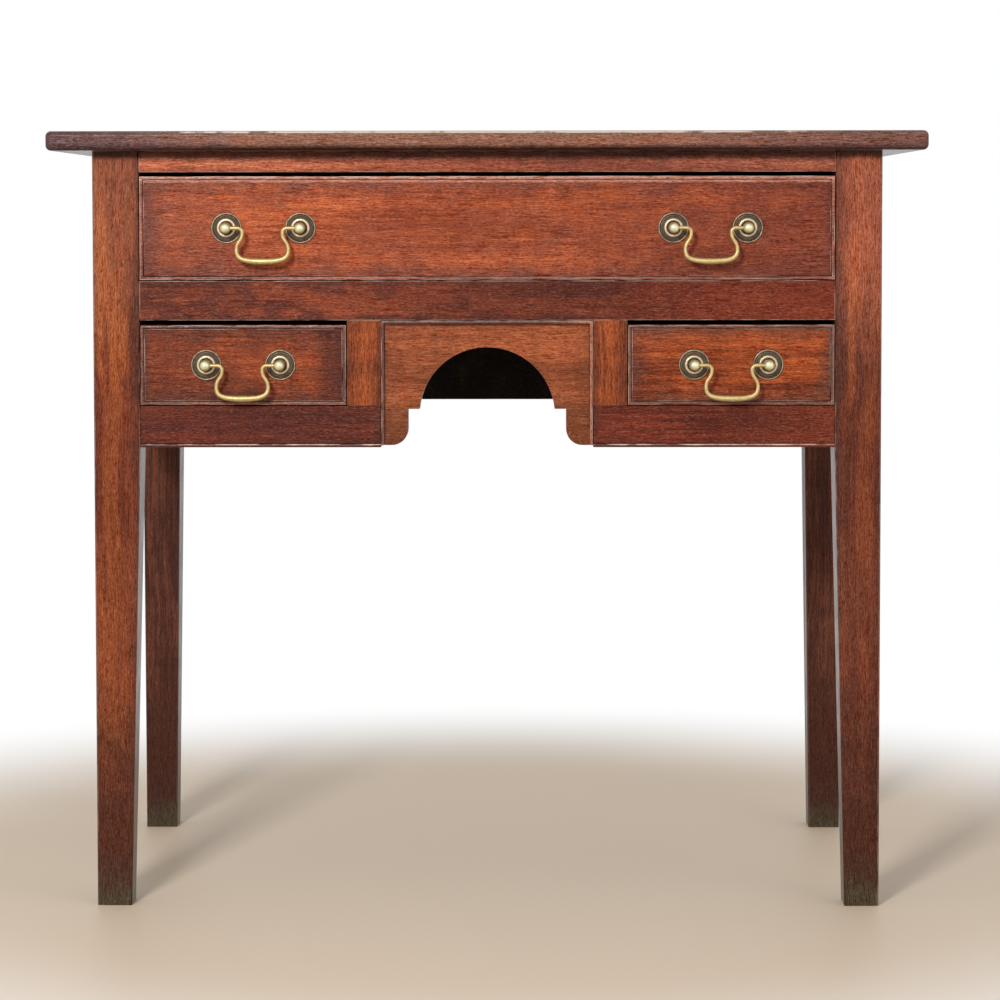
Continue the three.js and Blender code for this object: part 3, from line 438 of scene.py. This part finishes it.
def make_legs():
    # These stains make the legs darker towards the feet.
    darker_towards_feet = [("#42241a", "Z", 0.25, 0.08, 0.85), ("#432c22", "Z", 0.056, 0.036, 0.6),
               ("#484030", "Z", 0.034, 0.006, 0.9)]
    # Painted shade under the top board.
    painted_shade_under_top = ("#2b1914", "Z", under_top - 0.011, under_top - 0.003, 0.85)
    inner_face = abs(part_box("leg_front_left")[1].x)
    grimy_width = 0.014
    colours = {
        "left": ("#8c4427", "#4c2113", "#a4582b", "#9e5e42", "#9c5330"),
        "right": ("#78402c", "#3f2019", "#96502e", "#c26c50", "#743f2c"),
    }
    # The back legs take a darker copy of the mahogany, as painted shade.
    back = timber("Mahogany in the shade of the back", pale="#70402e", deep="#42241c", streaks=1.6,
                  worn_and_glint="#6b4638", fineness=0.7, dull=0.40, stains=darker_towards_feet)
    for side, sign in (("left", -1), ("right", 1)):
        pale, deep, flame, upper, lower = colours[side]
        grimy_edge = ("#4c2c24", "X", sign * (inner_face + grimy_width), sign * inner_face, 0.65)
        front = timber(f"Waxed mahogany with a flame figure, {side}", pale, deep, streaks=1.6, flame=flame,
                       border="#402a20", border_width=0.004, worn_and_glint="#a0705c", stains=[
                           ("#5e2a1b", "Z", 0.56, 0.45, 0.5), (lower, "Z", 0.37, 0.31, 0.3),
                           (upper, "Z", 0.48, 0.62, 0.4), *darker_towards_feet, painted_shade_under_top, grimy_edge])
        for place, material in (("front", front), ("back", back)):
            node = f"leg_{place}_{side}"
            piece = show_timber(f"{node}_waxed", bench_copy(node), "Z", "Y", material)
            fit(piece, "mahogany_leg", node)


make_legs()


# Sides and back
# Mahogany panels tongued into the legs at the sides, each with a strip glued under the top, with
# shade painted along their top. The back is a plain pine board, never polished, that has turned
# brown outside; its inside face is painted near black as shade.
def make_sides_and_back():
    # Shade is painted along the top of the side panels, under the top board.
    waxed = timber("Waxed mahogany, side panels", pale="#8a4a34", deep="#5f3024", border="#4e352d",
                   worn_and_glint="#a06f58", dull=0.38, stains=[
                       ("#2b1914", "Z", under_top - 0.011, under_top - 0.003, 0.8)])
    for side in ("left", "right"):
        node = f"side_panel_{side}"
        fit(show_timber(f"{node}_waxed", bench_copy(node), "Y", "X", waxed), "mahogany_side", node)
    inner_face, outer_face = (corner.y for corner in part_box("back_board"))
    # The inside face of the back is painted near black, as the shade inside the carcass.
    boards = timber("Bare pine, browned by age, painted black inside as shade", pale="#6b4f38", deep="#4a3425",
                    border="#2e2118", worn_and_glint="#8a6c50", pores=0.15, dull=0.72,
                    stains=[("#0d0907", "Y", outer_face, inner_face, 1.0)])
    piece = show_timber("back_board_bare", bench_copy("back_board"), "X", "Y", boards)
    fit(piece, "carcass_pine", "back_board")


make_sides_and_back()


# Rails and dividers
# The front frame: a top rail lapped into the legs, a middle rail and two bottom rails tenoned
# into them, and two dividers. The lower front edge of the bottom rails is worked to a bead.
def make_front_frame():
    bead_width, bead_wear_and_highlight = 0.003, 1.1
    # The top rail is painted with shade along its upper edge, under the overhang of the top board.
    top = timber("Waxed mahogany, orange rail", pale="#c06b4a", deep="#84402b", border="#7a402c",
                 border_width=0.004, worn_and_glint="#d0a48c", wander=0.005, stains=[
                     ("#6f4038", "X", -0.05, 0.25, 0.5),
                     ("#2b1914", "Z", under_top - 0.0135, under_top - 0.004, 0.8)])
    middle = timber("Waxed mahogany, brown rail", pale="#8b4126", deep="#4d2014", blotch="#4f231b",
                    border="#4a2820", border_width=0.005, worn_and_glint="#dcc0b0", wander=0.005, stains=[
                        ("#4c1f14", "X", -0.20, 0.0, 0.5), ("#82351e", "X", 0.08, 0.24, 0.5)])
    bottom = timber("Waxed mahogany, dark rail", pale="#77311d", deep="#40170f", border="#42261f",
                    border_width=0.005, worn_and_glint="#dcc0b0", wander=0.005, stains=[
                        ("#853c25", "X", 0.18, 0.33, 0.5), ("#462018", "X", 0.0, -0.12, 0.4)])
    upright = timber("Waxed mahogany, dividers", pale="#ad572d", deep="#6e351d", border="#542a1c",
                     border_width=0.007, worn_and_glint="#a87058", wander=0.006)
    boards = [("top_rail", "X", top), ("middle_rail", "X", middle)]
    for side in ("left", "right"):
        boards += [(f"bottom_rail_{side}", "X", bottom), (f"divider_{side}", "Z", upright)]
    for node, along, material in boards:
        shape = bench_copy(node)
        # The bead on the bottom rails is marked as wear and as a painted highlight along its nose.
        if "bottom_rail" in node:
            wear_and_highlight = shape.verts.layers.float.new("wear_and_highlight")
            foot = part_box(node)[0]
            for vert in shape.verts:
                rise = (vert.co.z - foot.z) / bead_width
                vert[wear_and_highlight] = bead_wear_and_highlight * rise * (vert.co.y < foot.y + bead_width and rise < 1)
        piece = show_timber(f"{node}_waxed", shape, along, "Y", material)
        fit(piece, "mahogany_arch" if "divider" in node else "mahogany_rail", node)


make_front_frame()


# Arch panel
# A thin board over the kneehole, tongued into the middle rail. Its lower edge is sawn to a round
# arch that steps out above two feet with rounded inner corners, and it is rebated for the bead.
def shaped(name, shape, tools):
    """Works a shape with boxes: each tool is cut away or added, as its word says."""
    worked = show(name, mesh_of(name, shape))
    helpers = []
    for word, low, high in tools:
        helpers.append(show("tool", mesh_of("tool", block(low, high))))
        step = worked.modifiers.new(word, "BOOLEAN")
        step.operation = word
        step.solver = "EXACT"
        step.object = helpers[-1]
    ready = worked.evaluated_get(bpy.context.evaluated_depsgraph_get())
    shape = bmesh.new()
    shape.from_mesh(ready.to_mesh())
    ready.to_mesh_clear()
    for spent in (worked, *helpers):
        bpy.data.objects.remove(spent)
    return shape


def arc(centre, radius, start, end, steps):
    """Points on an arc in the X-Z plane, from one angle to another in degrees."""
    turns = [math.radians(start + (end - start) * i / steps) for i in range(steps + 1)]
    return [(centre[0] + radius * math.cos(turn), centre[1] + radius * math.sin(turn)) for turn in turns]


def make_arch_panel():
    low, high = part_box("arch_panel")
    bead_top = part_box("arch_bead")[1].z
    thickness = 0.018
    arch_radius = 0.0625
    arch_centre = low.z + 0.028
    step_height = low.z + 0.0335
    step = 0.0105
    foot_radius = 0.015
    bead_width = 0.0033
    bead_depth = 0.0053
    tongue_half, tongue_height = 0.086, 0.008
    half = high.x
    top = high.z - tongue_height
    front, back = low.y, low.y + thickness
    foot_inner = arch_radius + step
    lift = math.degrees(math.asin((step_height - arch_centre) / arch_radius))
    left_foot = arc((-foot_inner - foot_radius, low.z + foot_radius), foot_radius, -90, 0, 10)
    right_foot = [(-x, z) for x, z in reversed(left_foot)]
    outline = [(half, low.z), (half, top), (-half, top), (-half, low.z), *left_foot,
               (-foot_inner, step_height), *arc((0, arch_centre), arch_radius, 180 - lift, lift, 48),
               (foot_inner, step_height), *right_foot]
    shape = bmesh.new()
    face = shape.faces.new([shape.verts.new((x, front, z)) for x, z in outline])
    drawn = bmesh.ops.extrude_face_region(shape, geom=[face])["geom"]
    for vert in [item for item in drawn if isinstance(item, bmesh.types.BMVert)]:
        vert.co.y = back
    bmesh.ops.recalc_face_normals(shape, faces=shape.faces)
    ahead, behind = front - bead_width, front + bead_depth
    tongue_back = back - (thickness - tongue_height) / 2
    tongue_front = tongue_back - tongue_height
    shape = shaped("arch_panel_blank", shape, [
        ("DIFFERENCE", (half - bead_width, ahead, low.z - bead_width), (half + bead_width, behind, high.z)),
        ("DIFFERENCE", (-half - bead_width, ahead, low.z - bead_width), (-half + bead_width, behind, high.z)),
        ("DIFFERENCE", (-half, ahead, bead_top - bead_width), (half, behind, high.z)),
        ("UNION", (-tongue_half, tongue_front, top - tongue_height), (tongue_half, tongue_back, high.z)),
    ])
    # Its last stain paints shade in the quirk just under the top bead.
    waxed = timber("Waxed mahogany, orange arch panel", pale="#a05532", deep="#6e371f", streaks=0.5,
                   border="#6e4028", border_width=0.006, worn_and_glint="#b98a6a", wander=0.006,
                   stains=[("#663820", "Z", low.z + 0.052, low.z + 0.028, 0.75),
                           ("#35170c", "Z", bead_top - 0.0058, bead_top - 0.0042, 0.75)])
    piece = show_timber("arch_panel_waxed", ease(shape, arris=0.0005, segments=2), "X", "Y", waxed)
    fit(piece, "mahogany_arch", "arch_panel")


make_arch_panel()


# Beads
# Thin mahogany strips with a round nose, mitred at the corners and let into the edges of the
# drawer fronts and of the arch panel. The polish is dark, with painted shade on the short drawers
# and the arch, and the nose is worn pale and painted with a highlight, most of all over the long drawer.
def strip_stations(corners, closed, spacing):
    """Points along a route in the X-Z plane with the direction of the inset at each one."""
    points = [Vector(corner) for corner in corners]
    count = len(points)
    spans = count if closed else count - 1
    inward = []
    for i in range(spans):
        along = (points[(i + 1) % count] - points[i]).normalized()
        inward.append(Vector((-along.y, along.x)))
    stations = []
    for i in range(spans):
        start, end = points[i], points[(i + 1) % count]
        before = inward[i - 1] if closed or i > 0 else inward[i]
        mitre = (before + inward[i]) / (1 + before.dot(inward[i]))
        stations.append((start, mitre))
        pieces = max(2, round((end - start).length / spacing))
        stations += [(start.lerp(end, j / pieces), inward[i]) for j in range(1, pieces)]
    if not closed:
        stations.append((points[-1], inward[-1]))
    return stations


def nose_section(width, back, nose, steps=8):
    """Section of a bead: inset across it, and depth, from the back edge round the nose."""
    radius = width / 2
    turns = [math.pi * i / steps for i in range(steps + 1)]
    rounded = [(radius + radius * math.cos(turn), nose + radius - radius * math.sin(turn)) for turn in turns]
    return [(0.0, back), (width, back), *rounded]


def bead_shape(corners, closed, width, back, nose):
    """A bead run along its corners, with the small unevenness of a hand-scratched moulding. It is
    marked, in the order of its section, on the two shoulders of the nose, as wear and as a painted highlight."""
    spacing = 0.009
    uneven, bumps_per_metre = 0.00022, 60
    highlight_and_wear_places = (0.0, 0.0, 0.0, 0.65, 0.3, 0.0, 0.0, 0.2, 1.0, 0.95, 0.3)
    section = nose_section(width, back, nose)
    shape = bmesh.new()
    wear_and_highlight = shape.verts.layers.float.new("wear_and_highlight")
    rings = []
    for point, inset in strip_stations(corners, closed, spacing):
        lift = noise.noise(Vector((point.x, point.y, nose)) * bumps_per_metre) * uneven
        rings.append([shape.verts.new((point.x + inset.x * (across + lift * (depth < back)),
                                       depth + abs(lift) * (depth < back),
                                       point.y + inset.y * (across + lift * (depth < back))))
                      for across, depth in section])
        for vert, rubbed in zip(rings[-1], highlight_and_wear_places):
            vert[wear_and_highlight] = rubbed
    count = len(section)
    for i in range(len(rings) if closed else len(rings) - 1):
        here, there = rings[i], rings[(i + 1) % len(rings)]
        for j in range(count):
            beyond = (j + 1) % count
            shape.faces.new([here[j], here[beyond], there[beyond], there[j]])
    if not closed:
        shape.faces.new(rings[0])
        shape.faces.new(rings[-1])
    bmesh.ops.recalc_face_normals(shape, faces=shape.faces)
    return shape


def make_beads():
    width, let_in = 0.003, 0.005
    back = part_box("middle_rail")[0].y + let_in
    long_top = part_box("long_drawer_bead")[1].z
    # The long drawer's bead is pale at its shoulders and along its top run: worn, and painted with a
    # highlight.
    rubbed = timber("Polished bead, shoulder rubbed pale", pale="#a05c48", deep="#673427", pores=0.3,
                    worn_and_glint="#f0dcd0", dull=0.25, level=0.4,
                    stains=[("#d49c88", "Z", long_top - 0.009, long_top - 0.003, 0.5)])
    # The beads of the short drawers and the arch take a darker copy of the bead polish, as painted shade.
    polish = timber("Dark polished bead, darkened as painted shade", pale="#84503f", deep="#562e24", pores=0.3, worn_and_glint="#d4b4a4",
                    dull=0.25, level=0.4, stains=[
                        # The pale second stain is a painted highlight on the right side of the arch bead; the
                        # third takes it off the right drawer's bead.
                        ("#502820", "X", -0.16, -0.14, 0.4), ("#b4745a", "X", 0.06, 0.09, 0.7),
                        ("#5a3024", "X", 0.115, 0.125, 0.8)])
    low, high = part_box("arch_bead")
    route = [(high.x, low.z), (high.x, high.z), (low.x, high.z), (low.x, low.z)]
    shape = bead_shape(route, False, width, back, low.y)
    fit(show_timber("arch_bead_polished", shape, "Z", "Y", polish), "mahogany_bead", "arch_bead")
    for drawer in drawers:
        node = f"{drawer}_bead"
        low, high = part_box(node)
        route = [(low.x, low.z), (high.x, low.z), (high.x, high.z), (low.x, high.z)]
        shape = bead_shape(route, True, width, back, low.y)
        finish = rubbed if drawer == "long_drawer" else polish
        fit(show_timber(f"{node}_polished", shape, "X", "Y", finish), "mahogany_bead", node)


drawers = ("long_drawer", "left_drawer", "right_drawer")
make_beads()


# Runners
# Strips of bare pine inside the carcass that the drawers run on, with guides that keep them
# straight and, above the short drawers, kickers that stop them tipping.
def make_runners():
    pine = timber("Bare pine, browned by age", pale="#5f4632", deep="#423022", border="#2e2118",
                  worn_and_glint="#8a6c50", pores=0.15, dull=0.72)
    for side in ("left", "right"):
        for kind in ("long_runner", "short_runner_outer", "short_runner_inner"):
            node = f"{kind}_{side}"
            fit(show_timber(f"{node}_bare", bench_copy(node), "Y", "X", pine), "carcass_pine", node)


make_runners()


# Drawer fronts
# Mahogany boards with straight level grain, polished to an even sheen. Handling and wax have
# left a dark grey-purple patina along their edges and ends.
def make_fronts():
    long_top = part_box("long_drawer_bead")[1].z
    polish = {"worn_and_glint": "#d8b4a2", "wander": 0.004, "dull": 0.33}
    finishes = {
        "long_drawer": timber("French-polished mahogany, long drawer", pale="#b75b33", deep="#7d361c",
                              blotch="#8c452e", border="#5c3832", **polish,
                              stains=[("#642e25", "X", -0.03, 0.28, 0.65),
                                      ("#603831", "X", -0.22, -0.33, 0.6),
                                      ("#743c2b", "Z", 0.636, 0.588, 0.25),
                                      # A pale line painted just under the top bead: a painted highlight along
                                      # the arris.
                                      ("#cf8f78", "Z", long_top - 0.0066, long_top - 0.0048, 0.55)]),
        "left_drawer": timber("French-polished mahogany, left drawer", pale="#9a4825", deep="#552311",
                              blotch="#6c3422", border="#442a22", **polish,
                              stains=[("#4a2119", "X", -0.162, -0.147, 0.75),
                                      ("#6a3220", "X", -0.26, -0.29, 0.35)]),
        "right_drawer": timber("French-polished mahogany, right drawer", pale="#a95027", deep="#60270e",
                               border="#5a382e", **polish),
    }
    for drawer, material in finishes.items():
        node = f"{drawer}_front"
        piece = show_timber(f"{node}_polished", bench_copy(node), "X", "Y", material)
        fit(piece, "mahogany_front", node)


make_fronts()


# Drawer linings
# Thin oak sides, back and bottom, never polished. The sides are dovetailed into the front and
# the back, and the bottom is slid into grooves from behind and nailed up into the back.
def make_linings():
    oak = timber("Bare oak, greyed by dust and hands", pale="#a98a63", deep="#7d6346", border="#57432f",
                 worn_and_glint="#ab8c66", dull=0.66)
    for drawer in drawers:
        boards = [("side_left", "Y", "X"), ("side_right", "Y", "X"), ("back", "X", "Y"), ("bottom", "X", "Z")]
        for board, along, thickness in boards:
            node = f"{drawer}_{board}"
            shape = bench_copy(node, arris=0.0005)
            fit(show_timber(f"{node}_bare", shape, along, thickness, oak), "drawer_oak", node)


make_linings()


# Handles
# Cast and turned brass: two posts with ball ends through the drawer front, each with a dished
# rosette behind it and a square nut inside, and a bail whose ends turn in the balls. Fingers keep
# the bail and balls bright, and the rosettes are brown but for their raised rings.
def brass(name, bright, tarnished):
    """Brass that is bright where it is rubbed and darker and duller elsewhere."""
    rubbed_roughness, dull_roughness = 0.36, 0.56
    least, most = 0.3, 1.15
    material = bpy.data.materials.new(name)
    material.use_nodes = True
    tree = material.node_tree
    shader = tree.nodes["Principled BSDF"]
    place = add(tree, "ShaderNodeTexCoord", output="Object")
    cloud = add(tree, "ShaderNodeTexNoise", {}, {"Vector": place, "Scale": 320.0, "Detail": 3.0})
    speck = add(tree, "ShaderNodeTexNoise", {}, {"Vector": place, "Scale": 1500.0, "Detail": 2.0})
    polish = add(tree, "ShaderNodeAttribute", {"attribute_name": "polish"}, output="Fac")
    share = add(tree, "ShaderNodeMath", {"operation": "MULTIPLY_ADD"}, {0: cloud, 1: 0.5, 2: polish})
    colour = stain(tree, srgb(tarnished), bright, share, least, most)
    colour = stain(tree, colour, tarnished, speck, start=0.6, end=0.75, strength=0.5)
    tree.links.new(colour, shader.inputs["Base Color"])
    rough = add(tree, "ShaderNodeMapRange", inputs={
        "Value": share, "From Min": least, "From Max": most,
        "To Min": dull_roughness, "To Max": rubbed_roughness})
    tree.links.new(rough, shader.inputs["Roughness"])
    bump = add(tree, "ShaderNodeBump", inputs={"Height": speck, "Strength": 0.2, "Distance": 0.0001})
    tree.links.new(bump, shader.inputs["Normal"])
    shader.inputs["Metallic"].default_value = 0.8
    return material


def turned(profile, sides, closed):
    """Turns a profile of radius, depth and polish about the Y axis."""
    shape = bmesh.new()
    polish = shape.verts.layers.float.new("polish")
    rings = []
    for i in range(sides):
        angle = 2 * math.pi * i / sides
        ring = []
        for radius, depth, rubbed in profile:
            vert = shape.verts.new((radius * math.cos(angle), depth, radius * math.sin(angle)))
            vert[polish] = rubbed
            ring.append(vert)
        rings.append(ring)
    for i in range(sides):
        here, there = rings[i], rings[(i + 1) % sides]
        for j in range(len(profile) if closed else len(profile) - 1):
            beyond = (j + 1) % len(profile)
            shape.faces.new([here[j], here[beyond], there[beyond], there[j]])
    bmesh.ops.remove_doubles(shape, verts=shape.verts, dist=0.000005)
    bmesh.ops.recalc_face_normals(shape, faces=shape.faces)
    return shape


def half_round(centre, width, foot, peak, steps, polish):
    """Profile points over a raised ring, which is brightest along its top."""
    points = []
    for i in range(steps + 1):
        turn = math.pi * i / steps
        points.append((centre + width / 2 * math.cos(turn), foot + (peak - foot) * math.sin(turn),
                       polish * math.sin(turn)))
    return points


# The bail turns in the balls of the posts, whose collars rest on the hubs of the rosettes.
ball_radius, ball_standoff = 0.0052, 0.014
hub_depth = -0.0022


def post_profile():
    """Ball, neck and collar outside the front, then the shank with a threaded end inside."""
    neck_radius = 0.0025
    collar_radius = 0.0042
    shank_radius = 0.0025
    thread_root = shank_radius * 0.86
    shank_end = 0.0255
    thread_start = 0.0195
    thread_pitch = 0.0005
    ball_steps = 16
    neck_angle = math.asin(neck_radius / ball_radius)
    points = []
    for i in range(ball_steps + 1):
        turn = (math.pi - neck_angle) * i / ball_steps
        points.append((ball_radius * math.sin(turn), -ball_standoff - ball_radius * math.cos(turn), 1.0))
    neck_end = hub_depth - 0.0030
    points.append((neck_radius * 0.9, (points[-1][1] + neck_end) / 2, 0.35))
    points.append((neck_radius * 1.05, neck_end, 0.2))
    points += [(radius, depth, rubbed) for radius, depth, rubbed in (
        (collar_radius * 0.86, neck_end + 0.0004, 0.5),
        (collar_radius, neck_end + 0.0011, 0.8),
        (collar_radius, neck_end + 0.0020, 0.6),
        (collar_radius * 0.9, hub_depth, 0.1),
        (shank_radius, hub_depth, 0.0),
        (shank_radius, thread_start, 0.2),
    )]
    for i in range(round((shank_end - thread_start) / thread_pitch)):
        depth = thread_start + thread_pitch * i
        points.append((thread_root, depth + thread_pitch * 0.5, 0.1))
        points.append((shank_radius, depth + thread_pitch, 0.3))
    points.append((0.0, shank_end, 0.2))
    return points


def rosette_profile():
    """A thin rim, a low dome with two scratched lines, an inner ring and a hub round the post."""
    radius = 0.0142
    rim_width, rim_peak = 0.0017, -0.0016
    ring_place, ring_width, ring_peak = 0.0074, 0.0027, -0.0036
    edge, crown = -0.0008, -0.0029
    line_depth = 0.0003
    lines = (3, 6)
    bore = 0.0028
    rim = half_round(radius - rim_width / 2, rim_width, edge, rim_peak, 8, 0.4)
    dome_outer = radius - rim_width
    dome_inner = ring_place + ring_width / 2
    dome = []
    for i in range(1, 9):
        share = i / 9
        depth = edge + (crown - edge) * math.sin(math.pi / 2 * share) + line_depth * (i in lines)
        dome.append((dome_outer + (dome_inner - dome_outer) * share, depth, 0.05 + 0.15 * (i + 1 in lines)))
    ring = half_round(ring_place, ring_width, crown, ring_peak, 8, 0.75)
    rise = [(0.0060, -0.0010, 0.0), (0.0055, -0.0010, 0.0), (0.0045, -0.0018, 0.25), (bore, hub_depth, 0.2)]
    return [(radius, 0.0, 0.3), *rim, *dome, *ring, *rise, (bore, 0.0, 0.0)]


def open_tree(name, inputs, result):
    """Starts a node tree with named inputs and one result, and returns it with what it is given."""
    tree = bpy.data.node_groups.new(name, "GeometryNodeTree")
    for title, kind in inputs.items():
        tree.interface.new_socket(name=title, in_out="INPUT", socket_type=f"NodeSocket{kind}")
    tree.interface.new_socket(name=result, in_out="OUTPUT", socket_type="NodeSocketGeometry")
    return tree, add(tree, "NodeGroupInput").node.outputs


def build_row_tree():
    """Copies a piece along X, each copy turned a step further about Y, and repeats the row in sets."""
    tree, given = open_tree("handle_fittings", {
        "Piece": "Geometry", "Place": "Vector", "Copies": "Int", "Gap": "Float", "Turn": "Float",
        "Sets": "Int", "Set gap": "Float", "Finish": "Material"}, "Pieces")
    step = add(tree, "ShaderNodeCombineXYZ", inputs={"X": given["Gap"]})
    points = add(tree, "GeometryNodeMeshLine", inputs={"Count": given["Copies"], "Offset": step})
    number = add(tree, "GeometryNodeInputIndex")
    angle = add(tree, "ShaderNodeMath", {"operation": "MULTIPLY"}, {0: number, 1: given["Turn"]})
    euler = add(tree, "ShaderNodeCombineXYZ", inputs={"Y": angle})
    turn = add(tree, "FunctionNodeEulerToRotation", inputs={0: euler})
    pair = add(tree, "GeometryNodeInstanceOnPoints", inputs={
        "Points": points, "Instance": given["Piece"], "Rotation": turn})
    set_step = add(tree, "ShaderNodeCombineXYZ", inputs={"X": given["Set gap"]})
    set_points = add(tree, "GeometryNodeMeshLine", inputs={
        "Count": given["Sets"], "Start Location": given["Place"], "Offset": set_step})
    sets = add(tree, "GeometryNodeInstanceOnPoints", inputs={"Points": set_points, "Instance": pair})
    solid = add(tree, "GeometryNodeRealizeInstances", inputs={"Geometry": sets})
    done = add(tree, "GeometryNodeSetMaterial", inputs={"Geometry": solid, "Material": given["Finish"]})
    add(tree, "NodeGroupOutput", inputs={"Pieces": done})
    return tree


def grown(name, base, tree, values):
    """Runs a node tree on a piece with its named values and keeps the result as a plain mesh."""
    step = base.modifiers.new(name, "NODES")
    step.node_group = tree
    for item in tree.interface.items_tree:
        if item.in_out == "INPUT" and item.name in values:
            step[item.identifier] = values[item.name]
    graph = bpy.context.evaluated_depsgraph_get()
    mesh = bpy.data.meshes.new_from_object(base.evaluated_get(graph), depsgraph=graph)
    mesh.name = name
    mesh.shade_smooth()
    mesh.set_sharp_from_angle(angle=math.radians(40))
    bpy.data.objects.remove(base)
    return show(name, mesh)


def build_bail_tree():
    """Draws a round bar along a curve, thick in the middle of the grip and thin at the ends."""
    grip_end, neck_start, polish = 0.04, 0.22, 0.38
    tree, given = open_tree("swan_neck_bar", {
        "Route": "Geometry", "End radius": "Float", "Middle radius": "Float", "Finish": "Material"}, "Bar")
    along = add(tree, "GeometryNodeSplineParameter", output="Factor")
    side = add(tree, "ShaderNodeMath", {"operation": "SUBTRACT"}, {0: along, 1: 0.5})
    away = add(tree, "ShaderNodeMath", {"operation": "ABSOLUTE"}, {0: side})
    radius = add(tree, "ShaderNodeMapRange", {"interpolation_type": "SMOOTHSTEP"}, {
        "Value": away, "From Min": grip_end, "From Max": neck_start,
        "To Min": given["Middle radius"], "To Max": given["End radius"]})
    route = add(tree, "GeometryNodeSetCurveRadius", inputs={"Curve": given["Route"], "Radius": radius})
    round_section = add(tree, "GeometryNodeCurvePrimitiveCircle", inputs={"Resolution": 18, "Radius": 1.0})
    skin = add(tree, "GeometryNodeCurveToMesh", inputs={
        "Curve": route, "Profile Curve": round_section, "Fill Caps": True, "Scale": radius})
    rubbed = add(tree, "GeometryNodeStoreNamedAttribute", {"data_type": "FLOAT", "domain": "POINT"}, {
        "Geometry": skin, "Name": "polish", "Value": polish})
    done = add(tree, "GeometryNodeSetMaterial", inputs={"Geometry": rubbed, "Material": given["Finish"]})
    add(tree, "NodeGroupOutput", inputs={"Bar": done})
    return tree


def bail_route(name, pivot):
    """The swan-neck bend of a bail as a Bezier curve hanging from its pivot."""
    end, neck, neck_bend = 0.0354, 0.0184, 0.0042
    belly, belly_drop, drop = 0.0239, 0.020, 0.0306
    round_handle = 0.5523
    quarter = round_handle * neck_bend
    sway = (belly_drop - neck_bend) / 2
    grip, corner = 0.0180, 0.0082
    half = [
        ((end, 0), (end + quarter, 0), (end - quarter, 0)),
        ((neck + neck_bend, 0), (neck + neck_bend + quarter, 0), (neck + neck_bend - quarter, 0)),
        ((neck, -neck_bend), (neck, -neck_bend + quarter), (neck, -neck_bend - sway)),
        ((belly, -belly_drop), (belly, -belly_drop + sway), (belly, -belly_drop - corner)),
    ]
    left = [[(-x, z) for x, z in knot] for knot in half]
    right = [(place, after, before) for place, before, after in reversed(half)]
    knots = [*left, [(0, -drop), (-grip, -drop), (grip, -drop)], *right]
    data = bpy.data.curves.new(name, "CURVE")
    data.dimensions = "3D"
    data.resolution_u = 12
    spline = data.splines.new("BEZIER")
    spline.bezier_points.add(len(knots) - 1)
    for point, knot in zip(spline.bezier_points, knots):
        point.handle_left_type = point.handle_right_type = "FREE"
        place, before, after = (pivot + Vector((x, 0, z)) for x, z in knot)
        point.co, point.handle_left, point.handle_right = place, before, after
    return show(name, data)


def make_handles():
    nut_half, nut_thickness = 0.00475, 0.0035
    front_thickness = 0.020
    bright = brass("Polished brass, rubbed by fingers", "#dad4aa", "#a8843a")
    brown = brass("Brass with a brown patina", "#cdbc9a", "#57483b")
    row_tree = build_row_tree()
    bail_tree = build_bail_tree()
    for drawer in drawers:
        handles = ["long_drawer_left", "long_drawer_right"] if drawer == "long_drawer" else [drawer]
        ends = [(handle, side) for handle in handles for side in ("left", "right")]
        posts = [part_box(f"{handle}_post_{side}") for handle, side in ends]
        middles = [(low + high) / 2 for low, high in posts]
        pivot_y = posts[0][0].y + ball_radius
        place = Vector((middles[0].x, pivot_y + ball_standoff, middles[0].z))
        row = {"Place": place, "Copies": 2, "Gap": middles[1].x - middles[0].x, "Turn": math.pi,
               "Sets": len(handles), "Set gap": middles[-2].x - middles[0].x}

        post = turned(post_profile(), sides=32, closed=False)
        nut = block((-nut_half, front_thickness, -nut_half),
                    (nut_half, front_thickness + nut_thickness, nut_half))
        bmesh.ops.bevel(nut, geom=nut.edges[:], offset=0.0004, segments=2, profile=0.5, affect="EDGES")
        post.from_mesh(mesh_of("nut", nut))
        rosette = turned(rosette_profile(), sides=56, closed=True)
        for kind, shape, finish, slot in (("post", post, bright, "brass"),
                                          ("rosette", rosette, brown, "patinated_brass")):
            base = show(kind, mesh_of(kind, shape))
            piece = grown(f"{drawer}_{kind}s", base, row_tree, {**row, "Finish": finish})
            fit(piece, slot, *[f"{handle}_{kind}_{side}" for handle, side in ends])

        for i, handle in enumerate(handles):
            pivot = Vector(((middles[2 * i].x + middles[2 * i + 1].x) / 2, pivot_y, middles[0].z))
            route = bail_route(f"{handle}_bail_route", pivot)
            piece = grown(f"{handle}_bail_polished", route, bail_tree, {
                "End radius": 0.0018, "Middle radius": 0.0030, "Finish": bright})
            fit(piece, "brass", f"{handle}_bail")


make_handles()
